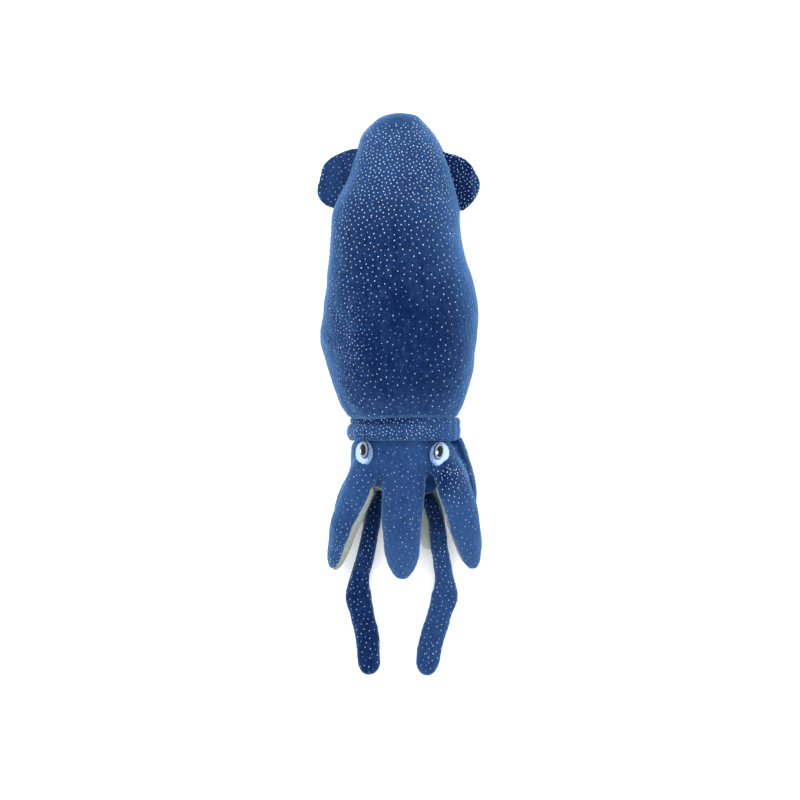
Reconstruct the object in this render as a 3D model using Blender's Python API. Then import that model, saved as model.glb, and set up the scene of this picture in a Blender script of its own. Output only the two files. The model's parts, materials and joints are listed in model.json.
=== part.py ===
"""Plush toy squid, lying belly down with its mantle tip towards +Y and its arms towards -Y.

Every piece is a loft: rings of points set along a smooth route. The mantle, collar and head are
stuffed tubes whose width follows the outline seen from above and whose depth is a share of that
width. Each arm is an oval tube split along its side seams into a blue upper half, fused with the
head, and a cream lower half of its own. The squid lies on z = 0, on a flattened belly.
"""
from collections import namedtuple

import bmesh
import bpy
import numpy as np
from mathutils import Vector

# Driving sizes, in metres
MM = 0.001
GAP = 0.3 * MM  # air between two pieces that touch
CORNER_GROWTH = 1.3  # a cutter's corners move out by more than the gap, so that its faces keep it
FLOOR = 0.0

# Mantle: outline seen from above as (y, left edge, right edge), from the tip to the neck
MANTLE_TIP = (281 * MM, 3 * MM)  # y and x
MANTLE_OUTLINE = (
    (279.3, -12.5, 17.5),
    (273.0, -25.0, 24.0),
    (261.0, -36.5, 34.5),
    (245.0, -43.5, 44.0),
    (219.0, -51.5, 53.0),
    (183.0, -66.5, 60.5),
    (159.0, -69.0, 62.5),
    (123.0, -73.5, 71.5),
    (87.0, -75.8, 78.2),
    (51.0, -77.8, 77.8),
    (27.0, -71.0, 75.2),
    (3.0, -64.0, 67.5),
    (-9.0, -59.0, 62.0),
    (-17.0, -53.5, 59.0),
    (-20.5, -51.5, 58.0),
    (-22.0, -48.5, 55.0),
)
MANTLE_DEPTH = 0.855  # height of the stuffed tube over its width
WAIST_Y, WAIST_REACH = 165 * MM, 42 * MM
WAIST_ROUNDER = 0.05  # how much higher the tube is there, as a share of its width
TIP_LIFT = 17 * MM  # underside of the tip above the floor
NECK_LIFT = 5 * MM
TIP_RISE_POWER, NECK_RISE_POWER = 1.5, 2  # how late the underside rises to each end
MANTLE_AXIS = ((-22, 48), (70, 66), (281, 25))  # lowest its middle line may lie over its underside, at y
BELLY_PRESS = 3.2 * MM  # how far the belly is flattened by its own weight
BELLY_MIDDLE = 70 * MM
BELLY_SPAN = 205 * MM  # from the middle of the belly to the tip, along y

# Collar: a thin upper fold and a thick lower roll round the neck
NECK = (4.5 * MM, 49 * MM)  # x and z of its centre line
COLLAR_TOP = -22.4 * MM
COLLAR_LENGTH = 23.2 * MM
FOLD_RADIUS = 55.2 * MM
ROLL_RADIUS = 57.2 * MM
COLLAR_CORE = 52 * MM
COLLAR_DEPTH = 0.83
FOLD_SHARE = 0.33  # of the collar's length
ROLL_FULLNESS = 0.45  # power of the half wave: lower is fuller

# Head: half widths along y, from the collar to the mouth
HEAD_STATIONS = ((-46.0, 47.0), (-48.5, 51.5), (-60.0, 53.8), (-72.0, 53.0), (-82.0, 47.0), (-90.0, 34.0))
HEAD_MOUTH = -93 * MM
HEAD_DEPTH = 0.79
HEAD_FLATTER = 0.24  # how much less deep it is at the mouth
HEAD_FRONT = -64 * MM  # y where it starts to flatten

# Fins: outer edge seen from above as (y, reach from the middle line)
FIN_EDGES = {
    "left": (
        (247, 45), (242.5, 60), (232, 75.5), (217, 80.5), (206, 83), (197.5, 81.5), (190.5, 76), (185, 65),
    ),
    "right": (
        (245, 41), (242.5, 49), (238.5, 62), (230.5, 72.5), (221.5, 77.5), (211, 81.5), (201, 79),
        (191.5, 73), (183, 64),
    ),
}
FIN_ROOT = 28 * MM  # reach of the fins' buried inner edge
FIN_THICKNESS = 9 * MM
FIN_HEIGHT = 56 * MM
FIN_CUP = 9 * MM  # how far the rim rises over the root
FIN_CUP_START, FIN_CUP_SPAN = 45 * MM, 35 * MM  # reach where it starts to rise, and from there to the rim
FIN_FULLNESS = 0.7  # power of the half wave across a fin: lower is fuller
FIN_END_THINNER = 0.9  # how far its square is thinned at the first and the last section
FIN_END_SECTIONS = 3  # over this many sections

# Arms round the crown, numbered by their angle: 90 is on top, 0 is towards +X
CROWN = (7 * MM, 46 * MM)
CROWN_REACH = (49 * MM, 32 * MM)
ARM_ROOT_Y = -48.5 * MM
ARM_BEND_Y = -80 * MM
Arm = namedtuple("Arm", "angle root reach middle tip half_width half_thickness bluntness roll")
# root: reach of the buried root over that of the bend; reach: that of the bend over the crown's;
# middle and tip: points of the route; bluntness: of the tip; roll: angle that the blue face ends at
ARMS = {
    "top": Arm(93, 0.7, 1, (2.6, -134, 60), (3.2, -184, 26), 23, 14.2, 5.6, 90),
    "upper_left": Arm(138, 0.7, 1.15, (-54, -126, 52), (-66.9, -174.6, 11.5), 18.5, 13.8, 3.8, 150),
    "upper_right": Arm(42, 0.58, 1.16, (63.5, -124, 52), (74.2, -173.7, 12), 20.3, 13.1, 3.8, 72),
    "side_left": Arm(180, 0.85, 0.97, (-55.5, -114, 22), (-54, -145, 11), 14.5, 11, 2.8, 120),
    "side_right": Arm(0, 0.8, 1.15, (66, -112, 26), (67, -146, 11), 15, 11, 2.8, 60),
    "lower_left": Arm(225, 0.7, 1, (-29, -121, 10.6), (-29, -151, 10.2), 13.5, 10, 3, 270),
    "bottom": Arm(268, 0.7, 1, (0, -122, 10.4), (2, -150, 10.2), 14, 10, 3, 270),
    "lower_right": Arm(315, 0.7, 1, (33, -120, 10.6), (27, -156, 10.2), 16, 10, 3.4, 270),
}
CREAM_RINGS = slice(4, 13)  # the stretch of each arm with a cream underside
SEAM_DROP = 0.12  # side seams below the arm's widest line, in half thicknesses
ROLL_PACE = 1.3  # the face reaches its roll at the inverse of this share
TAPER = 0.08  # of the half width, from root to tip
THICKNESS_POWER = 0.8  # the thickness narrows less than the width
UNDERSIDE_WIDTH = 0.98  # of the blue half's
UNDERSIDE_ENDS = (0.3, 0.45)  # its depth at its first ring, and how much it gains with each ring

# Webs of cloth between the centre arm and its neighbours: centre and half sizes in mm
WEBS = (((-23, -81, 72.5), (14, 10.5, 7)), ((28, -86, 65), (11, 13, 7)))

# Tentacles: routes from the mouth over the lower arms to the floor, and (share, half width) along them
TENTACLES = {
    "left": (
        (-16, -97, 37), (-25, -118, 33), (-31.5, -150, 27), (-39, -180, 13),
        (-41, -200, 8.2), (-37.5, -218, 7.2), (-32, -246, 7.2), (-30.7, -281, 7.2),
    ),
    "right": (
        (26, -97, 37), (35, -118, 33), (39.5, -150, 26), (44, -178, 13),
        (45, -200, 8.2), (39.5, -220, 7.2), (31, -250, 7.2), (26, -281, 7.2),
    ),
}
TENTACLE_HALF_WIDTHS = (
    (0, 7.2), (0.2, 8.8), (0.42, 9.6), (0.5, 10.8), (0.57, 13.8), (0.66, 13), (0.86, 12.6), (1, 10.8),
)
CLUB_END = 0.93  # share of the length where the round tip starts
TENTACLE_HALF_THICKNESS = 7.2 * MM

# Eyes: angle round the head and y in mm of the pale patch, and degrees that patch and eye lean out
Eye = namedtuple("Eye", "angle y patch_lean eye_lean yaw")
EYES = {"left": Eye(136.6, -58.2, 50, 60, 0), "right": Eye(49.9, -59, 41, 57, 8)}
PATCH_RADIUS = 12.2 * MM
PATCH_RISE = 3.4 * MM
PATCH_LIFT = 1.6 * MM  # of its middle over the head
EYE_RADIUS = 8.8 * MM
EYE_RISE = 2.2 * MM
EYE_SHIFT = (4.6 * MM, 3.5 * MM, 3.4 * MM)  # of the eye on its patch: inwards, towards the collar, out
EYE_LIFT = 2 * MM  # and straight up

# Facets
MANTLE_RINGS = 26
TUBE_SIDES = 36
COLLAR_RINGS = 14
HEAD_RINGS = 12
FIN_SECTIONS = 11
FIN_SIDES = 18
BALL_RINGS = 11
BALL_SIDES = 20
UNDERSIDE_SIDES = 7
ARM_RINGS = 15
ARM_SIDES = 12
TENTACLE_RINGS = 22
TENTACLE_SIDES = 10
TENTACLE_PACE = 1.1  # power that sets its rings closer near the root

COLOURS = {
    "blue": ((0.035, 0.09, 0.24, 1.0), 0.85),
    "deep_blue": ((0.02, 0.055, 0.17, 1.0), 0.85),
    "cream": ((0.62, 0.64, 0.52, 1.0), 0.9),
    "ice_blue": ((0.6, 0.75, 0.92, 1.0), 0.85),
    "eye_black": ((0.01, 0.012, 0.02, 1.0), 0.12),
}


def material(name):
    """A plain surface of one of the colours above."""
    colour, roughness = COLOURS[name]
    made = bpy.data.materials.get(name) or bpy.data.materials.new(name)
    made.use_nodes = True
    shader = made.node_tree.nodes["Principled BSDF"]
    shader.inputs["Base Color"].default_value = colour
    shader.inputs["Roughness"].default_value = roughness
    shader.inputs["Metallic"].default_value = 0.0
    return made


def smooth_through(points, shares):
    """Rows read at shares of the length of one smooth curve (Hermite spans) through the points."""
    p = np.asarray(points, float)
    knots = np.concatenate([[0.0], np.cumsum(np.linalg.norm(np.diff(p, axis=0), axis=1))])
    slopes = np.gradient(p, knots, axis=0)
    at = np.clip(np.asarray(shares, float), 0, 1) * knots[-1]
    i = np.clip(np.searchsorted(knots, at, side="right") - 1, 0, len(p) - 2)
    span = (knots[i + 1] - knots[i])[:, None]
    u = ((at - knots[i]) / span[:, 0])[:, None]
    return (
        (2 * u**3 - 3 * u**2 + 1) * p[i]
        + (u**3 - 2 * u**2 + u) * span * slopes[i]
        + (3 * u**2 - 2 * u**3) * p[i + 1]
        + (u**3 - u**2) * span * slopes[i + 1]
    )


def ease(x):
    """0 to 1 with a soft start and end."""
    x = np.clip(x, 0, 1)
    return x * x * (3 - 2 * x)


def solid(name, rings, colour):
    """One closed object from an array of rings (ring, point, xyz). A ring of one repeated point is a pole."""
    mesh = bpy.data.meshes.new(name)
    shape = bmesh.new()
    rows = []
    for ring in rings:
        if np.ptp(ring, axis=0).max() < 1e-7:
            rows.append([shape.verts.new(ring[0])])
        else:
            rows.append([shape.verts.new(point) for point in ring])
    for a, b in zip(rows, rows[1:]):
        count = max(len(a), len(b))
        for k in range(count):
            n = (k + 1) % count
            if len(a) == 1:
                corners = [a[0], b[n], b[k]]
            elif len(b) == 1:
                corners = [a[k], a[n], b[0]]
            else:
                corners = [a[k], a[n], b[n], b[k]]
            shape.faces.new(corners)
    for row in (rows[0], rows[-1]):
        if len(row) > 1:
            shape.faces.new(row)
    bmesh.ops.triangulate(shape, faces=shape.faces)
    bmesh.ops.recalc_face_normals(shape, faces=shape.faces)
    shape.to_mesh(mesh)
    shape.free()
    mesh.materials.append(material(colour))
    mesh.shade_smooth()
    made = bpy.data.objects.new(name, mesh)
    bpy.context.scene.collection.objects.link(made)
    return made


def combine(base, others, operation):
    """base joined with, or cut by, the other objects in one exact Boolean, which is applied."""
    group = bpy.data.collections.new("operands")
    bpy.context.scene.collection.children.link(group)
    for other in others:
        group.objects.link(other)
    step = base.modifiers.new("boolean", "BOOLEAN")
    step.operation = operation
    step.operand_type = "COLLECTION"
    step.collection = group
    step.solver = "EXACT"
    bpy.context.view_layer.update()
    result = bpy.data.meshes.new_from_object(base.evaluated_get(bpy.context.evaluated_depsgraph_get()))
    base.modifiers.clear()
    base.data = result
    for other in others:
        bpy.data.objects.remove(other)
    bpy.data.collections.remove(group)
    return base


def oval_rings(y, middle, half_width, half_height, z, sides=TUBE_SIDES):
    """Upright oval rings across y, flattened where they would pass through the floor."""
    turn = np.linspace(0, 2 * np.pi, sides, endpoint=False)
    rings = np.empty((len(y), sides, 3))
    rings[..., 0] = middle[:, None] + half_width[:, None] * np.cos(turn)
    rings[..., 1] = y[:, None]
    rings[..., 2] = np.maximum(z[:, None] + half_height[:, None] * np.sin(turn), FLOOR)
    return rings


def mantle_rings(grown=0.0):
    """The stuffed mantle: the outline gives each oval's width, its depth is a share of that."""
    outline = np.array(MANTLE_OUTLINE) * MM
    tip_y, tip_x = MANTLE_TIP
    end_y = outline[-1, 0]
    rows = np.vstack([[tip_y, tip_x, tip_x], outline])
    profile = np.column_stack([rows[:, 0], (rows[:, 1] + rows[:, 2]) / 2, (rows[:, 2] - rows[:, 1]) / 2])
    chain = np.vstack([profile[1] * (1, 1, -1), profile])
    lengths = np.concatenate([[0.0], np.cumsum(np.linalg.norm(np.diff(chain, axis=0), axis=1))])
    shares = np.linspace(lengths[1], lengths[-1], MANTLE_RINGS) / lengths[-1]
    y, middle, half = smooth_through(chain, shares).T
    half = np.maximum(half, 0)
    half[0] = 0
    towards_tip = ease((y - BELLY_MIDDLE) / BELLY_SPAN)
    towards_neck = ease((BELLY_MIDDLE - y) / (BELLY_MIDDLE - end_y))
    tip_rise = (TIP_LIFT + BELLY_PRESS) * towards_tip**TIP_RISE_POWER
    neck_rise = (NECK_LIFT + BELLY_PRESS) * towards_neck**NECK_RISE_POWER
    lift = tip_rise + neck_rise - BELLY_PRESS
    depth = half * (MANTLE_DEPTH + WAIST_ROUNDER * np.exp(-(((y - WAIST_Y) / WAIST_REACH) ** 2)))
    z = lift + np.maximum(np.interp(y, *np.array(MANTLE_AXIS).T * MM), depth)
    pole = half > 0
    return oval_rings(y, middle, half + grown * pole, depth + grown * pole, z)


def collar_rings():
    """Two rolls on a core: each is half a wave standing out over its share of the length."""
    share = np.linspace(0, 1, COLLAR_RINGS)
    y = COLLAR_TOP - COLLAR_LENGTH * share
    fold = np.sin(np.pi * np.clip(share / FOLD_SHARE, 0, 1)) ** ROLL_FULLNESS
    roll = np.sin(np.pi * np.clip((share - FOLD_SHARE) / (1 - FOLD_SHARE), 0, 1)) ** ROLL_FULLNESS
    half = COLLAR_CORE + (FOLD_RADIUS - COLLAR_CORE) * fold + (ROLL_RADIUS - COLLAR_CORE) * roll
    return oval_rings(y, np.full_like(y, NECK[0]), half, half * COLLAR_DEPTH, np.full_like(y, NECK[1]))


def head_rings():
    """The head: a stuffed ball, flat against the collar, and rounder and shallower towards the mouth."""
    rows = np.vstack([np.array(HEAD_STATIONS) * MM, [HEAD_MOUTH, 0.0]])
    chain = np.vstack([rows, rows[-2] * (1, -1)])
    lengths = np.concatenate([[0.0], np.cumsum(np.linalg.norm(np.diff(chain, axis=0), axis=1))])
    y, half = smooth_through(chain, np.linspace(0, lengths[-2], HEAD_RINGS) / lengths[-1]).T
    half = np.maximum(half, 0)
    half[-1] = 0
    depth = HEAD_DEPTH - HEAD_FLATTER * ease((HEAD_FRONT - y) / (HEAD_FRONT - HEAD_MOUTH))
    return oval_rings(y, np.full_like(y, NECK[0]), half, half * depth, np.full_like(y, NECK[1]))


def arm_route(arm):
    """Centre points, and the unit vectors across and out of the blue face, along an arm."""
    a = np.radians(arm.angle)
    reach = np.array([CROWN_REACH[0] * np.cos(a), CROWN_REACH[1] * np.sin(a)]) * arm.reach
    points = [
        (CROWN[0] + arm.root * reach[0], ARM_ROOT_Y, CROWN[1] + arm.root * reach[1]),
        (CROWN[0] + reach[0], ARM_BEND_Y, CROWN[1] + reach[1]),
        np.array(arm.middle) * MM,
        np.array(arm.tip) * MM,
    ]
    shares = np.sin(np.linspace(0, np.pi / 2, ARM_RINGS))
    centre = smooth_through(points, shares)
    along = np.gradient(centre, axis=0)
    along /= np.linalg.norm(along, axis=1)[:, None]
    turn = np.radians(arm.angle + (arm.roll - arm.angle) * ease(shares * ROLL_PACE))
    face = np.column_stack([np.cos(turn), np.zeros_like(turn), np.sin(turn)])
    face -= along * np.sum(face * along, axis=1)[:, None]
    face /= np.linalg.norm(face, axis=1)[:, None]
    return shares, centre, np.cross(along, face), face


def arm_sizes(shares, arm):
    """Half width and half thickness along an arm, which tapers a little and ends round."""
    taper = (1 - TAPER * shares) * np.sqrt(np.clip(1 - shares**arm.bluntness, 0, 1))
    return arm.half_width * MM * taper, arm.half_thickness * MM * taper**THICKNESS_POWER


def arm_upper(name):
    """The blue half: an oval cut off by a chord a little below its side seams, flat at the collar."""
    shares, centre, across, face = arm_route(ARMS[name])
    w, t = arm_sizes(shares, ARMS[name])
    drop = np.arcsin(SEAM_DROP)
    turn = np.linspace(-drop, np.pi + drop, ARM_SIDES)
    rings = (
        centre[:, None]
        + across[:, None] * (w[:, None] * np.cos(turn))[..., None]
        + face[:, None] * (t[:, None] * np.sin(turn))[..., None]
    )
    rings[-1] = centre[-1]
    rings[..., 1] = np.minimum(rings[..., 1], HEAD_STATIONS[0][0] * MM)
    rings[..., 2] = np.maximum(rings[..., 2], FLOOR)
    return solid("arm_" + name, rings, "blue")


def arm_underside(name):
    """The cream half: the rest of the oval, thin at both ends, a small gap under the blue half."""
    shares, centre, across, face = arm_route(ARMS[name])
    w, t = arm_sizes(shares, ARMS[name])
    spot, side, out = centre[CREAM_RINGS], across[CREAM_RINGS], face[CREAM_RINGS]
    w, t = w[CREAM_RINGS], t[CREAM_RINGS]
    from_end = np.minimum(np.arange(len(w)), np.arange(len(w))[::-1])
    first, gain = UNDERSIDE_ENDS
    ends = np.minimum(1, first + gain * from_end)
    chord = SEAM_DROP * t + GAP
    drop = np.arcsin(np.clip(chord / t, 0, 0.9))
    steps = np.linspace(0, 1, UNDERSIDE_SIDES)
    turn = drop[:, None] + (np.pi - 2 * drop)[:, None] * steps
    low = -(chord[:, None] + (t[:, None] * np.sin(turn) - chord[:, None]) * ends[:, None])
    rings = (
        spot[:, None]
        + side[:, None] * (w[:, None] * np.cos(turn) * UNDERSIDE_WIDTH)[..., None]
        + out[:, None] * low[..., None]
    )
    rings[..., 2] = np.maximum(rings[..., 2], FLOOR)
    return solid("underside_" + name, rings, "cream")


def tentacle(name):
    """A slim flattened tube, bent at its elbow, with a wider club that lies on the floor."""
    shares = np.sin(np.linspace(0, np.pi / 2, TENTACLE_RINGS)) ** TENTACLE_PACE
    centre = smooth_through(np.array(TENTACLES[name]) * MM, shares)
    at, half = np.array(TENTACLE_HALF_WIDTHS).T
    in_tip = np.clip((shares - CLUB_END) / (1 - CLUB_END), 0, 1)
    w = np.interp(shares, at, half) * MM * np.sqrt(1 - in_tip**2)
    t = np.minimum(w, TENTACLE_HALF_THICKNESS)
    along = np.gradient(centre, axis=0)
    along /= np.linalg.norm(along, axis=1)[:, None]
    across = np.cross(along, (0.0, 0.0, 1.0))
    across /= np.linalg.norm(across, axis=1)[:, None]
    face = np.cross(across, along)
    turn = np.linspace(0, 2 * np.pi, TENTACLE_SIDES, endpoint=False)
    rings = (
        centre[:, None]
        + across[:, None] * (w[:, None] * np.cos(turn))[..., None]
        + face[:, None] * (t[:, None] * np.sin(turn))[..., None]
    )
    rings[-1] = centre[-1]
    rings[..., 2] = np.maximum(rings[..., 2], FLOOR)
    return solid("tentacle_" + name, rings, "blue")


def fin(name):
    """A padded flap: lens sections across x, cupped upwards to the rim, cut by the mantle's side."""
    side = -1 if name == "left" else 1
    rows = smooth_through(np.array(FIN_EDGES[name]) * MM, np.linspace(0, 1, FIN_SECTIONS))
    turn = np.linspace(0, 2 * np.pi, FIN_SIDES, endpoint=False)
    rings = []
    for k, (y, reach) in enumerate(rows):
        end = min(k, len(rows) - 1 - k) / FIN_END_SECTIONS
        half = FIN_THICKNESS / 2 * np.sqrt(1 - (1 - min(end, 1)) ** 2 * FIN_END_THINNER)
        middle, span = (reach + FIN_ROOT) / 2, (reach - FIN_ROOT) / 2
        x = middle + span * np.cos(turn)
        rise = FIN_CUP * ease((x - FIN_CUP_START) / FIN_CUP_SPAN)
        z = FIN_HEIGHT + rise + half * np.sign(np.sin(turn)) * np.abs(np.sin(turn)) ** FIN_FULLNESS
        rings.append(np.column_stack([side * x, np.full_like(x, y), z]))
    flap = solid("fin_" + name, np.array(rings), "deep_blue")
    return combine(flap, [solid("cutter", mantle_rings(GAP), "blue")], "DIFFERENCE")


def ball_rings(half_sizes):
    """Rings of a ball from pole to pole, stretched to its half sizes along x, y and z."""
    up = np.linspace(-np.pi / 2, np.pi / 2, BALL_RINGS)
    turn = np.linspace(0, 2 * np.pi, BALL_SIDES, endpoint=False)
    rings = np.stack(
        [
            np.outer(np.cos(up), np.cos(turn)),
            np.outer(np.cos(up), np.sin(turn)),
            np.outer(np.sin(up), np.ones_like(turn)),
        ],
        axis=-1,
    )
    rings[[0, -1], :, :2] = 0
    return rings * half_sizes


def web(place):
    """A flattened ball of cloth and stuffing that fills the fork between two arms."""
    centre, half_sizes = np.array(place) * MM
    return solid("web", ball_rings(half_sizes) + centre, "blue")


def lens(name, centre, axis, radius, rise, colour):
    """A flattened ball round a point, its short half axis along the given direction."""
    tilt = Vector(axis).to_track_quat("Z", "Y").to_matrix()
    return solid(name, ball_rings((radius, radius, rise)) @ np.array(tilt).T + centre, colour)


def grown_copy(thing):
    """A cutter: the thing's own mesh, moved outwards by the gap."""
    mesh = thing.data.copy()
    points = np.empty(len(mesh.vertices) * 3)
    normals = np.empty(len(mesh.vertices) * 3, np.float32)
    mesh.vertices.foreach_get("co", points)
    mesh.vertex_normals.foreach_get("vector", normals)
    mesh.vertices.foreach_set("co", points + normals * GAP * CORNER_GROWTH)
    made = bpy.data.objects.new("cutter", mesh)
    bpy.context.scene.collection.objects.link(made)
    return made


def leaning(side, lean, yaw):
    """The unit vector that leans out from straight up to a side, turned by the yaw towards the arms."""
    lean, yaw = np.radians(lean), np.radians(yaw)
    return np.array([side * np.sin(lean) * np.cos(yaw), -np.sin(lean) * np.sin(yaw), np.cos(lean)])


def eye(name, head):
    """A pale round patch on the head and a glossy eye on it, each cut by what it lies on."""
    angle, y, patch_lean, eye_lean, yaw = EYES[name]
    side = -1 if name == "left" else 1
    y *= MM
    a = np.radians(angle)
    stations = np.array(HEAD_STATIONS)[::-1] * MM
    half_width = np.interp(y, *stations.T)
    axis = leaning(side, patch_lean, yaw)
    surface = (NECK[0] + half_width * np.cos(a), y, NECK[1] + half_width * HEAD_DEPTH * np.sin(a))
    centre = surface + PATCH_LIFT * axis
    inwards, up_the_head, out = EYE_SHIFT
    middle = centre + inwards * leaning(-side, 90 - patch_lean, 0) + out * axis + (0, up_the_head, EYE_LIFT)
    patch = lens("eye_patch_" + name, centre, axis, PATCH_RADIUS, PATCH_RISE, "ice_blue")
    combine(patch, [grown_copy(head)], "DIFFERENCE")
    ball = lens("eye_" + name, middle, leaning(side, eye_lean, yaw), EYE_RADIUS, EYE_RISE, "eye_black")
    under = lens("cutter", centre, axis, PATCH_RADIUS + GAP, PATCH_RISE + GAP, "ice_blue")
    combine(ball, [under, grown_copy(head)], "DIFFERENCE")


def build():
    """Every piece of the squid."""
    solid("mantle", mantle_rings(), "blue")
    solid("collar", collar_rings(), "deep_blue")
    head = solid("head_and_arms", head_rings(), "blue")
    combine(head, [arm_upper(name) for name in ARMS] + [web(place) for place in WEBS], "UNION")
    for name in ARMS:
        arm_underside(name)
    for name in TENTACLES:
        tentacle(name)
    for name in FIN_EDGES:
        fin(name)
    for name in EYES:
        eye(name, head)


for old in list(bpy.data.objects):
    bpy.data.objects.remove(old)
build()
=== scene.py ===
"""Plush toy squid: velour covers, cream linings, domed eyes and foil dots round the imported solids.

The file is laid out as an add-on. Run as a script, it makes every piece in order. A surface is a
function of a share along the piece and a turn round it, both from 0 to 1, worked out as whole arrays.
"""
import json
from collections import namedtuple

import bpy
import numpy as np
from bpy.props import FloatProperty, FloatVectorProperty, IntProperty, PointerProperty
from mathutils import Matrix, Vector
from mathutils.bvhtree import BVHTree

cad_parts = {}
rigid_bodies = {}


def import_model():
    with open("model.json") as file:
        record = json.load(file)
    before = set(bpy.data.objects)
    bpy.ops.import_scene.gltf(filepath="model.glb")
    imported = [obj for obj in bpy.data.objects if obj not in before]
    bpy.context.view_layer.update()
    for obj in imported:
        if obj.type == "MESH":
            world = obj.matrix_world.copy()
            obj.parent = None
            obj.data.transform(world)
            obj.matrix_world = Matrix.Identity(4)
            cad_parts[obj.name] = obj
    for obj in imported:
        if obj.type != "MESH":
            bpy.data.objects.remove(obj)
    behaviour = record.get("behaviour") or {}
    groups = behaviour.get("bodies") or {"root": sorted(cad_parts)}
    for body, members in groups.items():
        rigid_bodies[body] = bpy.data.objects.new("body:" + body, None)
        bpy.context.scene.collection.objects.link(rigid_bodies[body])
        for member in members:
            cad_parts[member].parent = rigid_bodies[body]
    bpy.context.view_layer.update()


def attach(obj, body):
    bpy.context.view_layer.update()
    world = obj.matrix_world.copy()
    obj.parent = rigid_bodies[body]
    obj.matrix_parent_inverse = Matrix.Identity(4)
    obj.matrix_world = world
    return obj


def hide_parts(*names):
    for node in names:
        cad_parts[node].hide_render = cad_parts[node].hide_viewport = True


bl_info = {
    "name": "Plush squid",
    "version": (1, 0, 0),
    "blender": (4, 5, 0),
    "location": "3D View > Sidebar > Plush squid",
    "description": "Covers, linings, eyes and foil dots of a stuffed toy squid",
    "category": "Add Mesh",
}

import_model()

MM = 0.001
FLOOR = 0.0
BODY = "root"
LEAST_HALF = 0.05 * MM  # half width where an outline closes
LEAST_SQUARE = 0.0004  # of a round end's half width, squared, where it closes
POLE_GAP = 0.02  # radians left open at both poles of a ball
TINY = 1e-9

# How a cover is stuffed: voxel of its skin in mm, rounds of smoothing, slack and cap in mm, mass and
# stiffness of the cloth, share of the way from the cut shape taken back, levels of subdivision
Filling = namedtuple("Filling", "voxel rounds slack cap mass stiffness held levels")
MANTLE_FILLING = Filling(5, 4, 3.5, 5, 0.004, 5, 0, 2)
HEAD_FILLING = Filling(2.5, 4, 1.6, 2.4, 0.2, 12, 0.5, 1)
FIN_FILLING = Filling(2, 3, 1.2, 2, 0.2, 12, 0.75, 1)
TENTACLE_FILLING = Filling(2, 3, 1.2, 1.8, 0.2, 12, 0.5, 1)

# Creases round the neck: their height, how many, how far their spacing wanders and in how many bends
Gathers = namedtuple("Gathers", "height count wander bends")
COLLAR_GATHERS = Gathers(0.35 * MM, 23, 5, 3)
FOLD_GATHERS = Gathers(0.25 * MM, 41, 4, 5)
NECK_GATHERS = Gathers(0.5 * MM, 17, 3, 4)

# Mantle: outline seen from above in mm, as (y, left edge, right edge), from the tip to the neck
MANTLE_TIP = (281.0, 3.0)
MANTLE_OUTLINE = (
    (279.3, -12.5, 17.5),
    (273.0, -25.0, 24.0),
    (261.0, -36.5, 34.5),
    (245.0, -43.5, 44.0),
    (219.0, -51.5, 53.0),
    (183.0, -66.5, 60.5),
    (159.0, -69.0, 62.5),
    (123.0, -73.5, 71.5),
    (87.0, -75.8, 78.2),
    (51.0, -77.8, 77.8),
    (27.0, -71.0, 75.2),
    (3.0, -64.0, 67.5),
    (-9.0, -59.0, 62.0),
    (-17.0, -53.5, 59.0),
    (-20.5, -51.5, 58.0),
    (-22.0, -48.5, 55.0),
)
MANTLE_SHARE = 0.98  # of the mantle's surface; the rest is tucked into the collar
TUCK_LENGTH = 4 * MM
TUCK_SHARE = 0.2  # how much narrower the tucked end gets
WAIST = (165 * MM, 42 * MM, 0.05)  # y and reach of the waist, and how much rounder the tube is there
TIP_LIFT = 17 * MM
NECK_LIFT = 5 * MM
MANTLE_AXIS = ((-22, 48), (70, 66), (281, 25))  # least height of the middle line over the belly, at y
BELLY_PRESS = 3.2 * MM
BELLY_MIDDLE = 70 * MM
BELLY_SPAN = 205 * MM
SIDE_SEAM = 0.18  # radians of the side seams under the widest line

# Collar
NECK = (4.5 * MM, 49 * MM)  # x and z of its centre line
COLLAR_TOP = -22.4 * MM
COLLAR_LENGTH = 23.2 * MM
COLLAR_CORE = 52 * MM
COLLAR_DEPTH = 0.83
FOLD_RISE = 3.4 * MM
ROLL_RISE = 5.2 * MM
FOLD_SHARE = 0.33
ROLL_FULLNESS = 0.45
SPLIT_WAVES = ((0.05, 1, 2.6), (0.02, 3, 1.0))  # share, count and shift of the line between fold and roll
# Values round the neck, each in the middle and what it gains to the right and loses to the left
APART = (0.65, -0.35)  # fold and roll apart; the rest is one flat band
FOLD_SWELL = (0.85, 0.4)
ROLL_SWELL = (0.9, -0.08)
BAND_SHARE = 0.8  # height of the flat band over the roll's
COLLAR_TILT = 0.5 * MM
COLLAR_TILT_SHIFT = 1.2
FOLD_LEAN = 6  # radians that the fold's creases lean over its length
NECK_OVERLAP = (8 * MM, 10 * MM)  # of the neck under the mantle and under the head
NECK_GAP = 2.5 * MM

# Head
HEAD_STATIONS = ((-46.0, 47.0), (-48.5, 51.5), (-60.0, 53.8), (-72.0, 53.0), (-82.0, 47.0), (-90.0, 34.0))
HEAD_MOUTH = -93.0
HEAD_DEPTH = 0.79
HEAD_FLATTER = 0.24  # how much less deep it is at the mouth
HEAD_FRONT = -64 * MM  # y where it starts to flatten

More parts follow.
